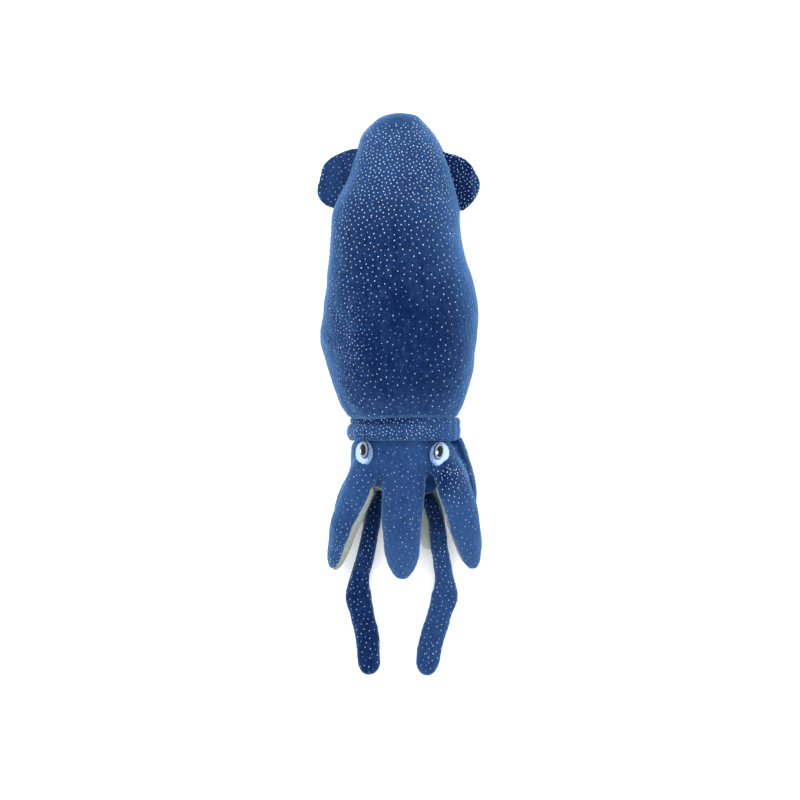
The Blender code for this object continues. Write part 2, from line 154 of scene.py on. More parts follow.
# Fins: outer edge in mm as (y, reach from the middle line)
FIN_EDGES = {
    "left": (
        (247, 45), (242.5, 60), (232, 75.5), (217, 80.5), (206, 83), (197.5, 81.5), (190.5, 76), (185, 65),
    ),
    "right": (
        (245, 41), (242.5, 49), (238.5, 62), (230.5, 72.5), (221.5, 77.5), (211, 81.5), (201, 79),
        (191.5, 73), (183, 64),
    ),
}
FIN_ROOT = 28 * MM
FIN_HEIGHT = 56 * MM
FIN_CUPS = {"left": 6 * MM, "right": 11 * MM}  # rise of the rim
FIN_CUP_PLACE = (45, 35)  # where it starts and its reach, in mm
FIN_CUP_POWER = 1.5
FIN_ENDS_UP = 3 * MM
FIN_END = 0.22  # share of the length over which each end thins
FIN_END_DROP = 0.97
FIN_FULLNESS = 0.7

# Arms round the crown
CROWN = (7 * MM, 46 * MM)
CROWN_REACH = (49 * MM, 32 * MM)
ARM_ROOT_Y = -44 * MM
ARM_BEND_Y = -80 * MM
Arm = namedtuple("Arm", "angle root reach middle tip half_width half_thickness bluntness roll")
ARMS = {
    "top": Arm(93, 0.7, 1, (2.6, -134, 60), (3.2, -184, 26), 23, 14.2, 5.6, 90),
    "upper_left": Arm(138, 0.7, 1.15, (-54, -126, 52), (-66.9, -174.6, 11.5), 18.5, 13.8, 3.8, 150),
    "upper_right": Arm(42, 0.58, 1.16, (63.5, -124, 52), (74.2, -173.7, 12), 20.3, 13.1, 3.8, 72),
    "side_left": Arm(180, 0.85, 0.97, (-55.5, -114, 22), (-54, -145, 11), 14.5, 11, 2.8, 120),
    "side_right": Arm(0, 0.8, 1.15, (66, -112, 26), (67, -146, 11), 15, 11, 2.8, 60),
    "lower_left": Arm(225, 0.7, 1, (-29, -121, 10.6), (-29, -151, 10.2), 13.5, 10, 3, 270),
    "bottom": Arm(268, 0.7, 1, (0, -122, 10.4), (2, -150, 10.2), 14, 10, 3, 270),
    "lower_right": Arm(315, 0.7, 1, (33, -120, 10.6), (27, -156, 10.2), 16, 10, 3.4, 270),
}
SEAM_DROP = 0.12
ROLL_PACE = 1.3  # the face has turned before the tip
ARM_TAPER = 0.08
THICKNESS_POWER = 0.8
LINING_START = 0.3
LINING_END = 0.985
LINING_WIDTH = 0.93
LINING_SWELL = 0.12  # share over which it swells from its start
LINING_LEAST = 0.0025
LINING_SHALLOWER = 0.6
LINING_FLAT = 0.3  # height of its inner side over the arm's

# Mouth inside the crown
DISH_PLACE = (-6 * MM, -91 * MM, CROWN[1] - 1 * MM)
DISH_RADIUS = 21 * MM
DISH_RISE = 4.5 * MM
DISH_GATHERS = (0.5 * MM, 14)  # height and count
# Webs of cloth between the centre arm and its neighbours: centre and half sizes in mm
WEBS = (((-23, -81, 72.5), (14, 10.5, 7)), ((28, -86, 65), (11, 13, 7)))

# Tentacles: routes in mm, and (share, half width in mm) along them
TENTACLES = {
    "left": (
        (-16, -97, 37), (-25, -118, 33), (-31.5, -150, 27), (-39, -180, 13),
        (-41, -200, 8.2), (-37.5, -218, 7.2), (-32, -246, 7.2), (-30.7, -281, 7.2),
    ),
    "right": (
        (26, -97, 37), (35, -118, 33), (39.5, -150, 26), (44, -178, 13),
        (45, -200, 8.2), (39.5, -220, 7.2), (31, -250, 7.2), (26, -281, 7.2),
    ),
}
TENTACLE_HALF_WIDTHS = (
    (0, 7.2), (0.2, 8.8), (0.42, 9.6), (0.5, 10.8), (0.57, 13.8), (0.66, 13), (0.86, 12.6), (1, 10.8),
)
CLUB_END = 0.93
TENTACLE_HALF_THICKNESS = 7.2 * MM

# Eyes: angle round the head and y in mm of the pale patch, and degrees that patch and eye lean out
Eye = namedtuple("Eye", "angle y patch_lean eye_lean yaw")
EYES = {"left": Eye(134.8, -58.2, 50, 60, 0), "right": Eye(50.8, -59, 41, 57, 8)}
PATCH_RADIUS = 12.2 * MM
PATCH_LIFT = 2.8 * MM  # of its middle over the head
PATCH_RISE = 3.4 * MM
EYE_RADIUS = 8.8 * MM
EYE_RISE = 2.2 * MM
EYE_SEAT = 5 * MM  # how deep its back reaches into the patch
EYE_SHIFT = (4.9 * MM, 3.5 * MM, 3.8 * MM)  # of the eye on its patch: inwards, towards the collar, out
EYE_LIFT = 2 * MM  # and straight up

# Photograph: one pixel is one millimetre, the middle of the frame in metres
PIXEL = 1 * MM
FRAME_PIXELS = 800
FRAME_MIDDLE = (0.5 * MM, -5 * MM)

# Foil dots
DOTS_TOP = 272 * MM  # the tip's seam is without dots
DOTS_RAGGED = 3 * MM
HEAD_END = -74 * MM  # where the dots change from the head's net to those of the arms
HEAD_START = -46.5 * MM
RIGHT_ROOT = 42 * MM  # where the right arm's net starts beside the eye
DOT_REACH = 3 * MM  # dots of a net lie no further from the cover
DOT_SIDES = 8
DOT_RISE = 0.32  # of the dot's half width
DOT_DEPTH = 0.5  # and how deep it is pressed in
DOT_PROUD = 0.06 * MM  # height of its rim over the cloth


# Properties

def colour(label, text, value):
    """A colour property with its name, its description and its default."""
    return FloatVectorProperty(
        name=label, description=text, default=value, size=4, min=0.0, max=1.0, subtype="COLOR"
    )


def length(label, text, value, least, most):
    """A length property with its name, its description, its default and its limits."""
    return FloatProperty(
        name=label, description=text, default=value, min=least, max=most, unit="LENGTH", precision=5
    )


class SquidSizes(bpy.types.PropertyGroup):
    """Sizes that a maker would change."""
    mantle_depth: FloatProperty(
        name="Mantle depth", description="Height of the stuffed mantle over its width",
        default=0.855, min=0.6, max=1.1, subtype="FACTOR",
    )
    pressure: FloatProperty(
        name="Stuffing", description="Pressure inside each cover as it is filled",
        default=4.0, min=0.0, max=12.0,
    )
    frames: IntProperty(
        name="Filling steps", description="Frames over which a cover is filled",
        default=20, min=2, max=60,
    )
    foil_dot: length("Foil dot", "Diameter of a foil dot", 1.25 * MM, 0.4 * MM, 4 * MM)
    foil_spacing: length(
        "Foil spacing", "Distance between foil dots where they are closest", 4.2 * MM, 2 * MM, 20 * MM
    )
    fin_thickness: length("Fin thickness", "Thickness of the padded fins", 9 * MM, 4 * MM, 20 * MM)


class SquidColours(bpy.types.PropertyGroup):
    """Colours of the cloth, the eyes and the foil."""
    # Velour tones: each piece's painted light and shade, with its own tone, picks a tone between the deep and
    # the light one.
    velour_deep: colour("Velour, deep", "Blue velour seen into its pile", (0.002, 0.0095, 0.052, 1.0))
    velour_light: colour("Velour, brushed", "Blue velour brushed flat", (0.02, 0.056, 0.163, 1.0))
    velour_sheen: colour("Velour, edge", "Light that the pile catches at the edges", (0.24, 0.51, 0.98, 1.0))
    # Lining tones: picked in the same way, so painted light lifts the low linings towards the light one.
    cream_deep: colour("Lining, deep", "Cream lining seen into its pile", (0.15, 0.175, 0.155, 1.0))
    cream_light: colour("Lining, brushed", "Cream lining where its pile is brushed", (0.62, 0.69, 0.625, 1.0))
    patch_light: colour("Eye patch", "Pale plush round the eye", (0.42, 0.58, 0.85, 1.0))
    patch_rim: colour("Eye patch, rim", "Rim of the pale plush", (0.10, 0.20, 0.42, 1.0))
    iris: colour("Iris", "Pale ring in the eye", (0.17, 0.24, 0.32, 1.0))
    iris_rim: colour("Iris rim", "Thin dark line round the iris", (0.012, 0.020, 0.05, 1.0))
    pupil: colour("Pupil", "Black middle of the eye", (0.004, 0.004, 0.005, 1.0))
    # The foil's painted reflection: each dot's tone runs from the bright one to the dim one, which stands for
    # foil facing away from the lights.
    foil: colour("Foil", "Bright foil dots", (0.80, 0.90, 1.0, 1.0))
    foil_dim: colour("Foil, worn", "Foil dots dulled by the pile", (0.07, 0.15, 0.34, 1.0))
    floor: colour("Floor", "Plain floor and background", (0.97, 0.97, 0.97, 1.0))


# Arrays

GOLDEN = (5**0.5 - 1) / 2


def ease(x):
    """0 to 1 with a soft start and end: three times the square less twice the cube."""
    x = np.clip(x, 0, 1)
    return x * x * (3 - 2 * x)


def bell(x, middle, reach):
    """1 at the middle, falling to both sides as a Gauss curve of that reach."""
    return np.exp(-(((x - middle) / reach) ** 2))


def unit(rows):
    """Each row divided by its length."""
    return rows / np.linalg.norm(rows, axis=-1, keepdims=True)


def smooth_through(points, shares):
    """Rows read at shares of the length of one smooth curve (Hermite spans) through the points."""
    p = np.asarray(points, float)
    knots = np.concatenate([[0.0], np.cumsum(np.linalg.norm(np.diff(p, axis=0), axis=1))])
    slopes = np.gradient(p, knots, axis=0)
    at = np.clip(np.asarray(shares, float), 0, 1) * knots[-1]
    i = np.clip(np.searchsorted(knots, at, side="right") - 1, 0, len(p) - 2)
    span = (knots[i + 1] - knots[i])[:, None]
    u = ((at - knots[i]) / span[:, 0])[:, None]
    return (
        (2 * u**3 - 3 * u**2 + 1) * p[i]
        + (u**3 - 2 * u**2 + u) * span * slopes[i]
        + (3 * u**2 - 2 * u**3) * p[i + 1]
        + (u**3 - u**2) * span * slopes[i + 1]
    )


def lumps(points, size, seed, waves=9):
    """Smooth unevenness of about -1 to 1: sine waves of about that size in seeded directions, summed."""
    draw = np.random.default_rng(seed)
    heading = unit(draw.normal(size=(waves, 3))) * (2 * np.pi / size) * draw.uniform(0.7, 1.4, (waves, 1))
    phase = draw.uniform(0, 2 * np.pi, waves)
    return np.sin(points @ heading.T + phase).sum(axis=1) / np.sqrt(waves)


def unevenness(points, *rows):
    """Lumps summed, each row a height and a size in mm and a seed."""
    return sum(height * MM * lumps(points, size * MM, seed) for height, size, seed in rows)


def past(x, start, reach):
    """0 up to the start, 1 from the start and the reach on, both in mm."""
    return ease((x - start * MM) / (reach * MM))


def under(x, start, reach):
    """0 above the start, 1 from the reach below it on, both in mm."""
    return ease((start * MM - x) / (reach * MM))


def ridge(x, middle, reach):
    """A bell with its middle and reach in mm."""
    return bell(x, middle * MM, reach * MM)


def creased(a, gathers, lean=0.0):
    """Small creases round the neck: waves whose spacing wanders."""
    return gathers.height * np.sin(gathers.count * a + gathers.wander * np.sin(gathers.bends * a) + lean)


def section(centre, across, face, sideways, up):
    """Points off a middle line by distances across it and along its face, none under the floor."""
    points = centre + across * sideways[:, None] + face * up[:, None]
    points[:, 2] = np.maximum(points[:, 2], FLOOR)
    return points


# Surfaces: each gives the points at arrays of shares along it and turns round it

def mantle_columns(share):
    """y, middle, half width, half depth and centre height at shares of the way from the tip to the neck.

    The outline, mirrored past the tip, is one smooth curve. Depth is a share of the width, a little
    rounder at the waist. The underside lies on the floor in the middle and lifts to both ends.
    """
    outline = np.array(MANTLE_OUTLINE) * MM
    tip_y, tip_x = np.array(MANTLE_TIP) * MM
    rows = np.vstack([[tip_y, tip_x, tip_x], outline])
    profile = np.column_stack([rows[:, 0], (rows[:, 1] + rows[:, 2]) / 2, (rows[:, 2] - rows[:, 1]) / 2])
    chain = np.vstack([profile[1] * (1, 1, -1), profile])
    steps = np.linalg.norm(np.diff(chain, axis=0), axis=1)
    before = steps[0] / steps.sum()
    y, middle, half = smooth_through(chain, before + (1 - before) * share).T
    half = np.maximum(half, LEAST_HALF)
    towards_tip = ease((y - BELLY_MIDDLE) / BELLY_SPAN)
    towards_neck = ease((BELLY_MIDDLE - y) / (BELLY_MIDDLE - outline[-1, 0]))
    lift = (TIP_LIFT + BELLY_PRESS) * towards_tip**1.5 + (NECK_LIFT + BELLY_PRESS) * towards_neck**2
    depth_share = bpy.context.scene.squid_sizes.mantle_depth
    depth = half * (depth_share + WAIST[2] * bell(y, WAIST[0], WAIST[1]))
    z = lift - BELLY_PRESS + np.maximum(np.interp(y, *np.array(MANTLE_AXIS).T * MM), depth)
    return y, middle, half, depth, z


def upright_oval(y, middle, half_width, half_height, z, turn):
    """Points of ovals across y: the width follows the cosine of the turn and the height its sine."""
    a = 2 * np.pi * turn
    height = z + half_height * np.sin(a)
    return np.column_stack([middle + half_width * np.cos(a), y, np.maximum(height, FLOOR)])


def mantle(share, turn):
    """The stuffed mantle: ovals of the outline's width across its length, drawn in under the collar."""
    y, middle, half, depth, z = mantle_columns(share / MANTLE_SHARE)
    tucked = np.clip((share - MANTLE_SHARE) / (1 - MANTLE_SHARE), 0, 1)
    drawn_in = 1 - TUCK_SHARE * ease(tucked)
    return upright_oval(y - TUCK_LENGTH * tucked, middle, half * drawn_in, depth * drawn_in, z, turn)


def collar_split(a):
    """Share of the collar's length where the fold meets the roll, at angles round the neck."""
    return FOLD_SHARE + sum(high * np.sin(count * a + shift) for high, count, shift in SPLIT_WAVES)


def collar(share, turn):
    """The rolled hem: a thin fold and a fuller roll, each half a wave standing out from a core.

    The line between them wanders round the neck. Towards the right the two blend into one flat
    band, and small creases run across both.
    """
    a = 2 * np.pi * turn
    split = collar_split(a)
    fold = np.sin(np.pi * np.clip(share / split, 0, 1)) ** ROLL_FULLNESS
    roll = np.sin(np.pi * np.clip((share - split) / (1 - split), 0, 1)) ** ROLL_FULLNESS
    band = np.sin(np.pi * share) ** (ROLL_FULLNESS / 2)
    ends_flat = np.sin(np.pi * share)
    to_right = np.cos(a)
    apart = APART[0] + APART[1] * to_right
    two = FOLD_RISE * fold * (FOLD_SWELL[0] + FOLD_SWELL[1] * to_right)
    two = two + ROLL_RISE * (ROLL_SWELL[0] + ROLL_SWELL[1] * to_right) * roll
    crease = creased(a, COLLAR_GATHERS) * ends_flat + creased(a, FOLD_GATHERS, FOLD_LEAN * share) * fold
    half = COLLAR_CORE + two * apart + BAND_SHARE * ROLL_RISE * band * (1 - apart) + crease
    y = COLLAR_TOP - COLLAR_LENGTH * share + COLLAR_TILT * np.sin(2 * a + COLLAR_TILT_SHIFT) * ends_flat
    return upright_oval(y, NECK[0], half, half * COLLAR_DEPTH, NECK[1], turn)


def neck(share, turn):
    """The stuffed neck that the mantle, the collar and the head are gathered round."""
    y = COLLAR_TOP + NECK_OVERLAP[0] - (COLLAR_LENGTH + sum(NECK_OVERLAP)) * share
    half = np.full_like(y, COLLAR_CORE - NECK_GAP)
    return upright_oval(y, NECK[0], half, half * COLLAR_DEPTH, NECK[1], turn)


def head_half(y):
    """Half width of the head at y."""
    stations = np.array(HEAD_STATIONS)[::-1] * MM
    return np.interp(y, *stations.T)


def head(share, turn):
    """The stuffed head: a smooth curve through its half widths, turned flat-oval about the neck's line."""
    rows = np.vstack([np.array(HEAD_STATIONS) * MM, [HEAD_MOUTH * MM, 0.0]])
    chain = np.vstack([rows, rows[-2] * (1, -1)])
    steps = np.linalg.norm(np.diff(chain, axis=0), axis=1)
    y, half = smooth_through(chain, share * (1 - steps[-1] / steps.sum())).T
    half = np.maximum(half, LEAST_HALF)
    depth = HEAD_DEPTH - HEAD_FLATTER * ease((HEAD_FRONT - y) / (HEAD_FRONT - HEAD_MOUTH * MM))
    return upright_oval(y, NECK[0], half, half * depth, NECK[1], turn)


def web(centre, reach):
    """A flattened ball of cloth and stuffing that fills the fork between two arms."""
    def surface(share, turn):
        up = (np.pi - POLE_GAP) * (share - 0.5)
        a = 2 * np.pi * turn
        ball = np.column_stack([np.cos(up) * np.cos(a), np.cos(up) * np.sin(a), np.sin(up)])
        return (np.array(centre) + ball * reach) * MM
    return surface


def arm_frame(name, share):
    """Centre, across and face vectors, half width and half thickness at shares of an arm.

    The route is a smooth curve from the head over the crown's bend to the tip. The face turns
    from the crown's angle to the roll, square to the route. The taper ends in a blunt round tip.
    """
    arm = ARMS[name]
    a = np.radians(arm.angle)
    reach = np.array([CROWN_REACH[0] * np.cos(a), CROWN_REACH[1] * np.sin(a)]) * arm.reach
    points = [
        (CROWN[0] + arm.root * reach[0], ARM_ROOT_Y, CROWN[1] + arm.root * reach[1]),
        (CROWN[0] + reach[0], ARM_BEND_Y, CROWN[1] + reach[1]),
        np.array(arm.middle) * MM,
        np.array(arm.tip) * MM,
    ]
    centre = smooth_through(points, share)
    step = 0.01
    along = unit(smooth_through(points, np.minimum(share + step, 1)) - smooth_through(points, share - step))
    turn = np.radians(arm.angle + (arm.roll - arm.angle) * ease(share * ROLL_PACE))
    face = np.column_stack([np.cos(turn), np.zeros_like(turn), np.sin(turn)])
    face = unit(face - along * np.sum(face * along, axis=1)[:, None])
    taper = (1 - ARM_TAPER * share) * np.sqrt(np.clip(1 - share**arm.bluntness, LEAST_SQUARE, 1))
    wide = arm.half_width * MM * taper
    return centre, np.cross(along, face), face, wide, arm.half_thickness * MM * taper**THICKNESS_POWER


def arm_top(name):
    """The blue half of an arm: the arc of an oval down to its side seams."""
    def surface(share, turn):
        centre, across, face, w, t = arm_frame(name, share)
        drop = np.arcsin(SEAM_DROP)
        a = -drop + (np.pi + 2 * drop) * turn
        return section(centre, across, face, w * np.cos(a), t * np.sin(a))
    return surface


def arm_lining(name):
    """The cream half of an arm: an egg section with its round side out and its flat side in the blue."""
    def surface(share, turn):
        at = LINING_START + (LINING_END - LINING_START) * share
        centre, across, face, w, t = arm_frame(name, at)
        a = 2 * np.pi * turn
        swelling = (1 - np.clip(share / LINING_SWELL, 0, 1)) ** 2
        ends = np.sqrt(np.clip(1 - swelling, LINING_LEAST, 1))
        sine = np.sin(a)
        outside = t * sine * (1 - LINING_SHALLOWER * (1 - ends))
        height = np.where(sine < 0, outside, LINING_FLAT * t * sine) - SEAM_DROP * t
        return section(centre, across, face, w * LINING_WIDTH * np.cos(a), height)
    return surface


def tentacle(name):
    """A slim flattened tube bent at its elbow, with a wider club that ends round."""
    route = np.array(TENTACLES[name]) * MM

    def surface(share, turn):
        centre = smooth_through(route, share)
        step = 0.005
        along = unit(smooth_through(route, np.minimum(share + step, 1)) - smooth_through(route, share - step))
        across = unit(np.cross(along, (0.0, 0.0, 1.0)))
        face = np.cross(across, along)
        at, half = np.array(TENTACLE_HALF_WIDTHS).T
        in_tip = np.clip((share - CLUB_END) / (1 - CLUB_END), 0, 1)
        round_end = np.sqrt(np.clip(1 - in_tip**2, LEAST_SQUARE, 1))
        w = smooth_through(np.column_stack([at, half * MM]), share)[:, 1] * round_end
        t = np.minimum(w, TENTACLE_HALF_THICKNESS)
        a = 2 * np.pi * turn
        return section(centre, across, face, w * np.cos(a), t * np.sin(a))
    return surface


def fin(name):
    """A padded flap: lens sections across x, cupped upwards to the rim."""
    side = -1 if name == "left" else 1

    def surface(share, turn):
        y, reach = smooth_through(np.array(FIN_EDGES[name]) * MM, share).T
        a = 2 * np.pi * turn
        from_end = np.clip(np.minimum(share, 1 - share) / FIN_END, 0, 1)
        end = np.sqrt(np.clip(1 - (1 - from_end) ** 2 * FIN_END_DROP, 0, 1))
        half = bpy.context.scene.squid_sizes.fin_thickness / 2 * end
        x = (reach + FIN_ROOT) / 2 + (reach - FIN_ROOT) / 2 * np.cos(a)
        cup = FIN_CUPS[name] * past(x, *FIN_CUP_PLACE) ** FIN_CUP_POWER
        ends_up = FIN_ENDS_UP * (2 * share - 1) ** 2
        z = FIN_HEIGHT + cup + ends_up + half * np.sign(np.sin(a)) * np.abs(np.sin(a)) ** FIN_FULLNESS
        return np.column_stack([side * x, y, z])
    return surface


def mouth_dish(share, turn):
    """The cream mouth inside the crown: a shallow oval dome on the head's front, gathered to its middle."""
    a = 2 * np.pi * turn
    r = np.sin(np.pi * share)
    gather = DISH_GATHERS[0] * np.sin(DISH_GATHERS[1] * a) * r * (1 - r)
    y = DISH_PLACE[1] - DISH_RISE * np.cos(np.pi * share) + gather
    return np.column_stack([
        DISH_PLACE[0] + DISH_RADIUS * r * np.cos(a), y, DISH_PLACE[2] + DISH_RADIUS * r * np.sin(a)
    ])


# Meshes

def mesh_from(name, points, faces):
    """A mesh of an array of points and arrays of faces, its faces turned outwards by its signed volume."""
    first = faces[0]
    a, b, c = (points[first[:, k]] for k in (0, 1, 2))
    if np.sum(np.cross(a - points.mean(axis=0), b - points.mean(axis=0)) * (c - points.mean(axis=0))) < 0:
        faces = [f[:, ::-1] for f in faces]
    corners = np.concatenate([f.ravel() for f in faces]).astype(np.int32)
    counts = np.concatenate([np.full(len(f), f.shape[1]) for f in faces])
    mesh = bpy.data.meshes.new(name)
    mesh.vertices.add(len(points))
    mesh.vertices.foreach_set("co", points.astype(np.float32).ravel())
    mesh.loops.add(len(corners))
    mesh.loops.foreach_set("vertex_index", corners)
    mesh.polygons.add(len(counts))
    mesh.polygons.foreach_set("loop_start", np.concatenate([[0], np.cumsum(counts)[:-1]]).astype(np.int32))
    mesh.update(calc_edges=True)
    mesh.shade_smooth()
    return mesh


def tube(surface, rows, columns, closed=True):
    """Points and faces of a surface read on a grid, wrapped round, with a fan over each open end.

    Where closed is false the turn runs to its end, and the last column meets the first by a flat strip.
    """
    share, turn = np.meshgrid(
        np.linspace(0, 1, rows), np.linspace(0, 1, columns, endpoint=not closed), indexing="ij"
    )
    points = surface(share.ravel(), turn.ravel())
    row, column = np.meshgrid(np.arange(rows - 1), np.arange(columns), indexing="ij")
    following = (column + 1) % columns
    quads = np.stack(
        [row * columns + column, row * columns + following,
         (row + 1) * columns + following, (row + 1) * columns + column],
        axis=-1,
    ).reshape(-1, 4)
    k = np.arange(columns)
    n = (k + 1) % columns
    last = (rows - 1) * columns
    ends = [points[:columns].mean(axis=0), points[last:].mean(axis=0)]
    start_fan = np.column_stack([n, k, np.full(columns, len(points))])
    end_fan = np.column_stack([last + k, last + n, np.full(columns, len(points) + 1)])
    return np.vstack([points, ends]), [quads, np.vstack([start_fan, end_fan])]


def linked(name, mesh):
    """A new object of a mesh, in the scene."""
    thing = bpy.data.objects.new(name, mesh)
    bpy.context.scene.collection.objects.link(thing)
    return thing


def joined(name, tubes):
    """One object of several tubes."""
    points = []
    quads = []
    fans = []
    start = 0
    for these, (four, three) in tubes:
        points.append(these)
        quads.append(four + start)
        fans.append(three + start)
        start += len(these)
    return linked(name, mesh_from(name, np.vstack(points), [np.vstack(quads), np.vstack(fans)]))


def rows_of(items, field):
    """A vector field of a mesh's items as rows."""
    flat = np.empty(len(items) * 3, np.float32)
    items.foreach_get(field, flat)
    return flat.reshape(-1, 3).astype(float)


def points_of(mesh):
    """The mesh's vertices as rows."""
    return rows_of(mesh.vertices, "co")


def normals_of(mesh):
    """The mesh's vertex normals as rows."""
    return rows_of(mesh.vertex_normals, "vector")


def put_points(mesh, points):
    """Moves the mesh's vertices to the rows, none of them under the floor."""
    points[:, 2] = np.maximum(points[:, 2], FLOOR)
    mesh.vertices.foreach_set("co", points.astype(np.float32).ravel())
    mesh.update()


def push_out(mesh, distance):
    """Moves each vertex along its normal by its own distance."""
    put_points(mesh, points_of(mesh) + normals_of(mesh) * distance[:, None])


def evaluated(thing):
    """A new mesh of a piece with its modifiers."""
    return bpy.data.meshes.new_from_object(thing.evaluated_get(bpy.context.evaluated_depsgraph_get()))


def modify(thing, name, kind, **settings):
    """Gives a piece one modifier with its settings, and applies it."""
    step = thing.modifiers.new(name, kind)
    for setting, value in settings.items():
        setattr(step, setting, value)
    result = evaluated(thing)
    thing.modifiers.clear()
    old = thing.data
    thing.data = result
    bpy.data.meshes.remove(old)


def swell(thing, filling):
    """How far cloth under pressure moves each point of a cover, without gravity."""
    sizes = bpy.context.scene.squid_sizes
    cloth = thing.modifiers.new("stuffing", "CLOTH")
    settings = cloth.settings
    settings.quality = 6
    settings.mass = filling.mass
    settings.tension_stiffness = filling.stiffness
    settings.compression_stiffness = filling.stiffness
    settings.shear_stiffness = filling.stiffness / 2
    settings.bending_stiffness = filling.stiffness / 20
    settings.use_pressure = True
    settings.uniform_pressure_force = sizes.pressure
    settings.effector_weights.gravity = 0
    cloth.point_cache.frame_start = 1
    cloth.point_cache.frame_end = sizes.frames
    for step in range(1, sizes.frames + 1):
        bpy.context.scene.frame_set(step)
    swollen = evaluated(thing)
    moved = points_of(swollen) - points_of(thing.data)
    bpy.data.meshes.remove(swollen)
    thing.modifiers.clear()
    bpy.context.scene.frame_set(1)
    return moved


def stuff(thing, filling):
    """One even skin round a piece's tubes, stuffed: it starts smaller by the slack and is swollen.

    No point moves further than the cap. The cover is then let out evenly by what it still lacks, and
    the share held of every point's way from its cut shape is taken back, as seams and lining do.
    """
    modify(thing, "skin", "REMESH", mode="VOXEL", voxel_size=filling.voxel * MM)
    modify(thing, "even", "SMOOTH", factor=0.5, iterations=filling.rounds)
    slack = filling.slack * MM
    cut = points_of(thing.data)
    start = cut - normals_of(thing.data) * slack
    put_points(thing.data, start)
    moved = swell(thing, filling)
    far = np.linalg.norm(moved, axis=1, keepdims=True)
    moved *= np.minimum(1, filling.cap * MM / np.maximum(far, TINY))
    normals = normals_of(thing.data)
    lacking = slack - np.median(np.sum(moved * normals, axis=1))
    full = start + moved + normals * lacking
    put_points(thing.data, full + (cut - full) * filling.held)
    modify(thing, "smooth", "SUBSURF", levels=filling.levels, render_levels=filling.levels)


def pull_to(thing, target, share):
    """Draws a piece by a share of the way to the nearest spot of another surface."""
    group = thing.vertex_groups.new(name="pull")
    group.add(range(len(thing.data.vertices)), share, "REPLACE")
    modify(
        thing, "pull", "SHRINKWRAP", wrap_method="NEAREST_SURFACEPOINT", target=target, vertex_group="pull"
    )
    thing.vertex_groups.clear()


def paint(mesh, name, values):
    """A value of each point of a mesh, for its material."""
    layer = mesh.attributes.new(name, "FLOAT", "POINT")
    layer.data.foreach_set("value", values.astype(np.float32))


def dress(thing, finish, slot, *nodes, fill=None):
    """Gives a finished piece its material and sets it on the body, for the nodes it stands for. The slot is
    not used.
    """
    thing.data.materials.clear()
    thing.data.materials.append(finish)
    thing.data.shade_smooth()
    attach(thing, BODY)
    if nodes:
        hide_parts(*nodes)


# Materials

MIX_FIRST, MIX_SECOND, MIX_RESULT = 6, 7, 2  # a Mix node's sockets for colours
PILE_RELIEF = 0.8 * MM
WHITE = (1.0, 1.0, 1.0, 1.0)


def put(tree, socket, value):
    """Links a socket to an output, or sets it to a value."""
    if isinstance(value, bpy.types.NodeSocket):
        tree.links.new(value, socket)
    else:
        socket.default_value = value


def wire(tree, node, **sockets):
    """Links or sets each named socket of a node."""
    for name, value in sockets.items():
        put(tree, node.inputs[name.replace("_", " ")], value)


def add(tree, kind, settings=(), **sockets):
    """A node with its settings, and each named socket either linked or set."""
    made = tree.nodes.new(kind)
    for name, value in dict(settings).items():
        setattr(made, name, value)
    wire(tree, made, **sockets)
    return made


def maths(tree, operation, first, second=0.0, clamped=False):
    """A Math node's result."""
    made = add(tree, "ShaderNodeMath", {"operation": operation, "use_clamp": clamped})
    put(tree, made.inputs[0], first)
    put(tree, made.inputs[1], second)
    return made.outputs[0]


def mixed(tree, factor, first, second):
    """A colour between two."""
    made = add(tree, "ShaderNodeMix", {"data_type": "RGBA"}, Factor=factor)
    put(tree, made.inputs[MIX_FIRST], first)
    put(tree, made.inputs[MIX_SECOND], second)
    return made.outputs[MIX_RESULT]


def length_of(tree, vector):
    """A vector's length."""
    made = add(tree, "ShaderNodeVectorMath", {"operation": "LENGTH"})
    put(tree, made.inputs[0], vector)
    return made.outputs["Value"]


def own_value(tree, name):
    """The value of that name that a piece's points hold."""
    return add(tree, "ShaderNodeAttribute", {"attribute_name": name}).outputs["Fac"]


def noise(tree, where, scale, detail=2.0, roughness=0.5):
    """Noise of -0.5 to 0.5 about its middle."""
    made = add(
        tree, "ShaderNodeTexNoise", Vector=where, Scale=scale, Detail=detail, Roughness=roughness
    )
    return maths(tree, "SUBTRACT", made.outputs["Fac"], 0.5)


def relief(tree, shader, strength, height):
    """Small bumps of a height on the cloth."""
    bumps = add(tree, "ShaderNodeBump", Strength=strength, Distance=PILE_RELIEF, Height=height)
    wire(tree, shader, Normal=bumps.outputs["Normal"])


def material(name, build):
    """The material of that name, its tree built the first time from its shader and Object coordinates."""
    found = bpy.data.materials.get(name)
    if found:
        return found
    made = bpy.data.materials.new(name)
    made.use_nodes = True
    tree = made.node_tree
    where = tree.nodes.new("ShaderNodeTexCoord").outputs["Object"]
    build(tree, tree.nodes["Principled BSDF"], where)
    return made


def new_group(name, inputs, outputs):
    """An empty shader group with its named inputs (name, type, default) and outputs (name, type)."""
    group = bpy.data.node_groups.new(name, "ShaderNodeTree")
    for label, kind, default in inputs:
        socket = group.interface.new_socket(name=label, in_out="INPUT", socket_type=kind)
        if default is not None:
            socket.default_value = default
    for label, kind in outputs:
        group.interface.new_socket(name=label, in_out="OUTPUT", socket_type=kind)
    return group, group.nodes.new("NodeGroupInput"), group.nodes.new("NodeGroupOutput")


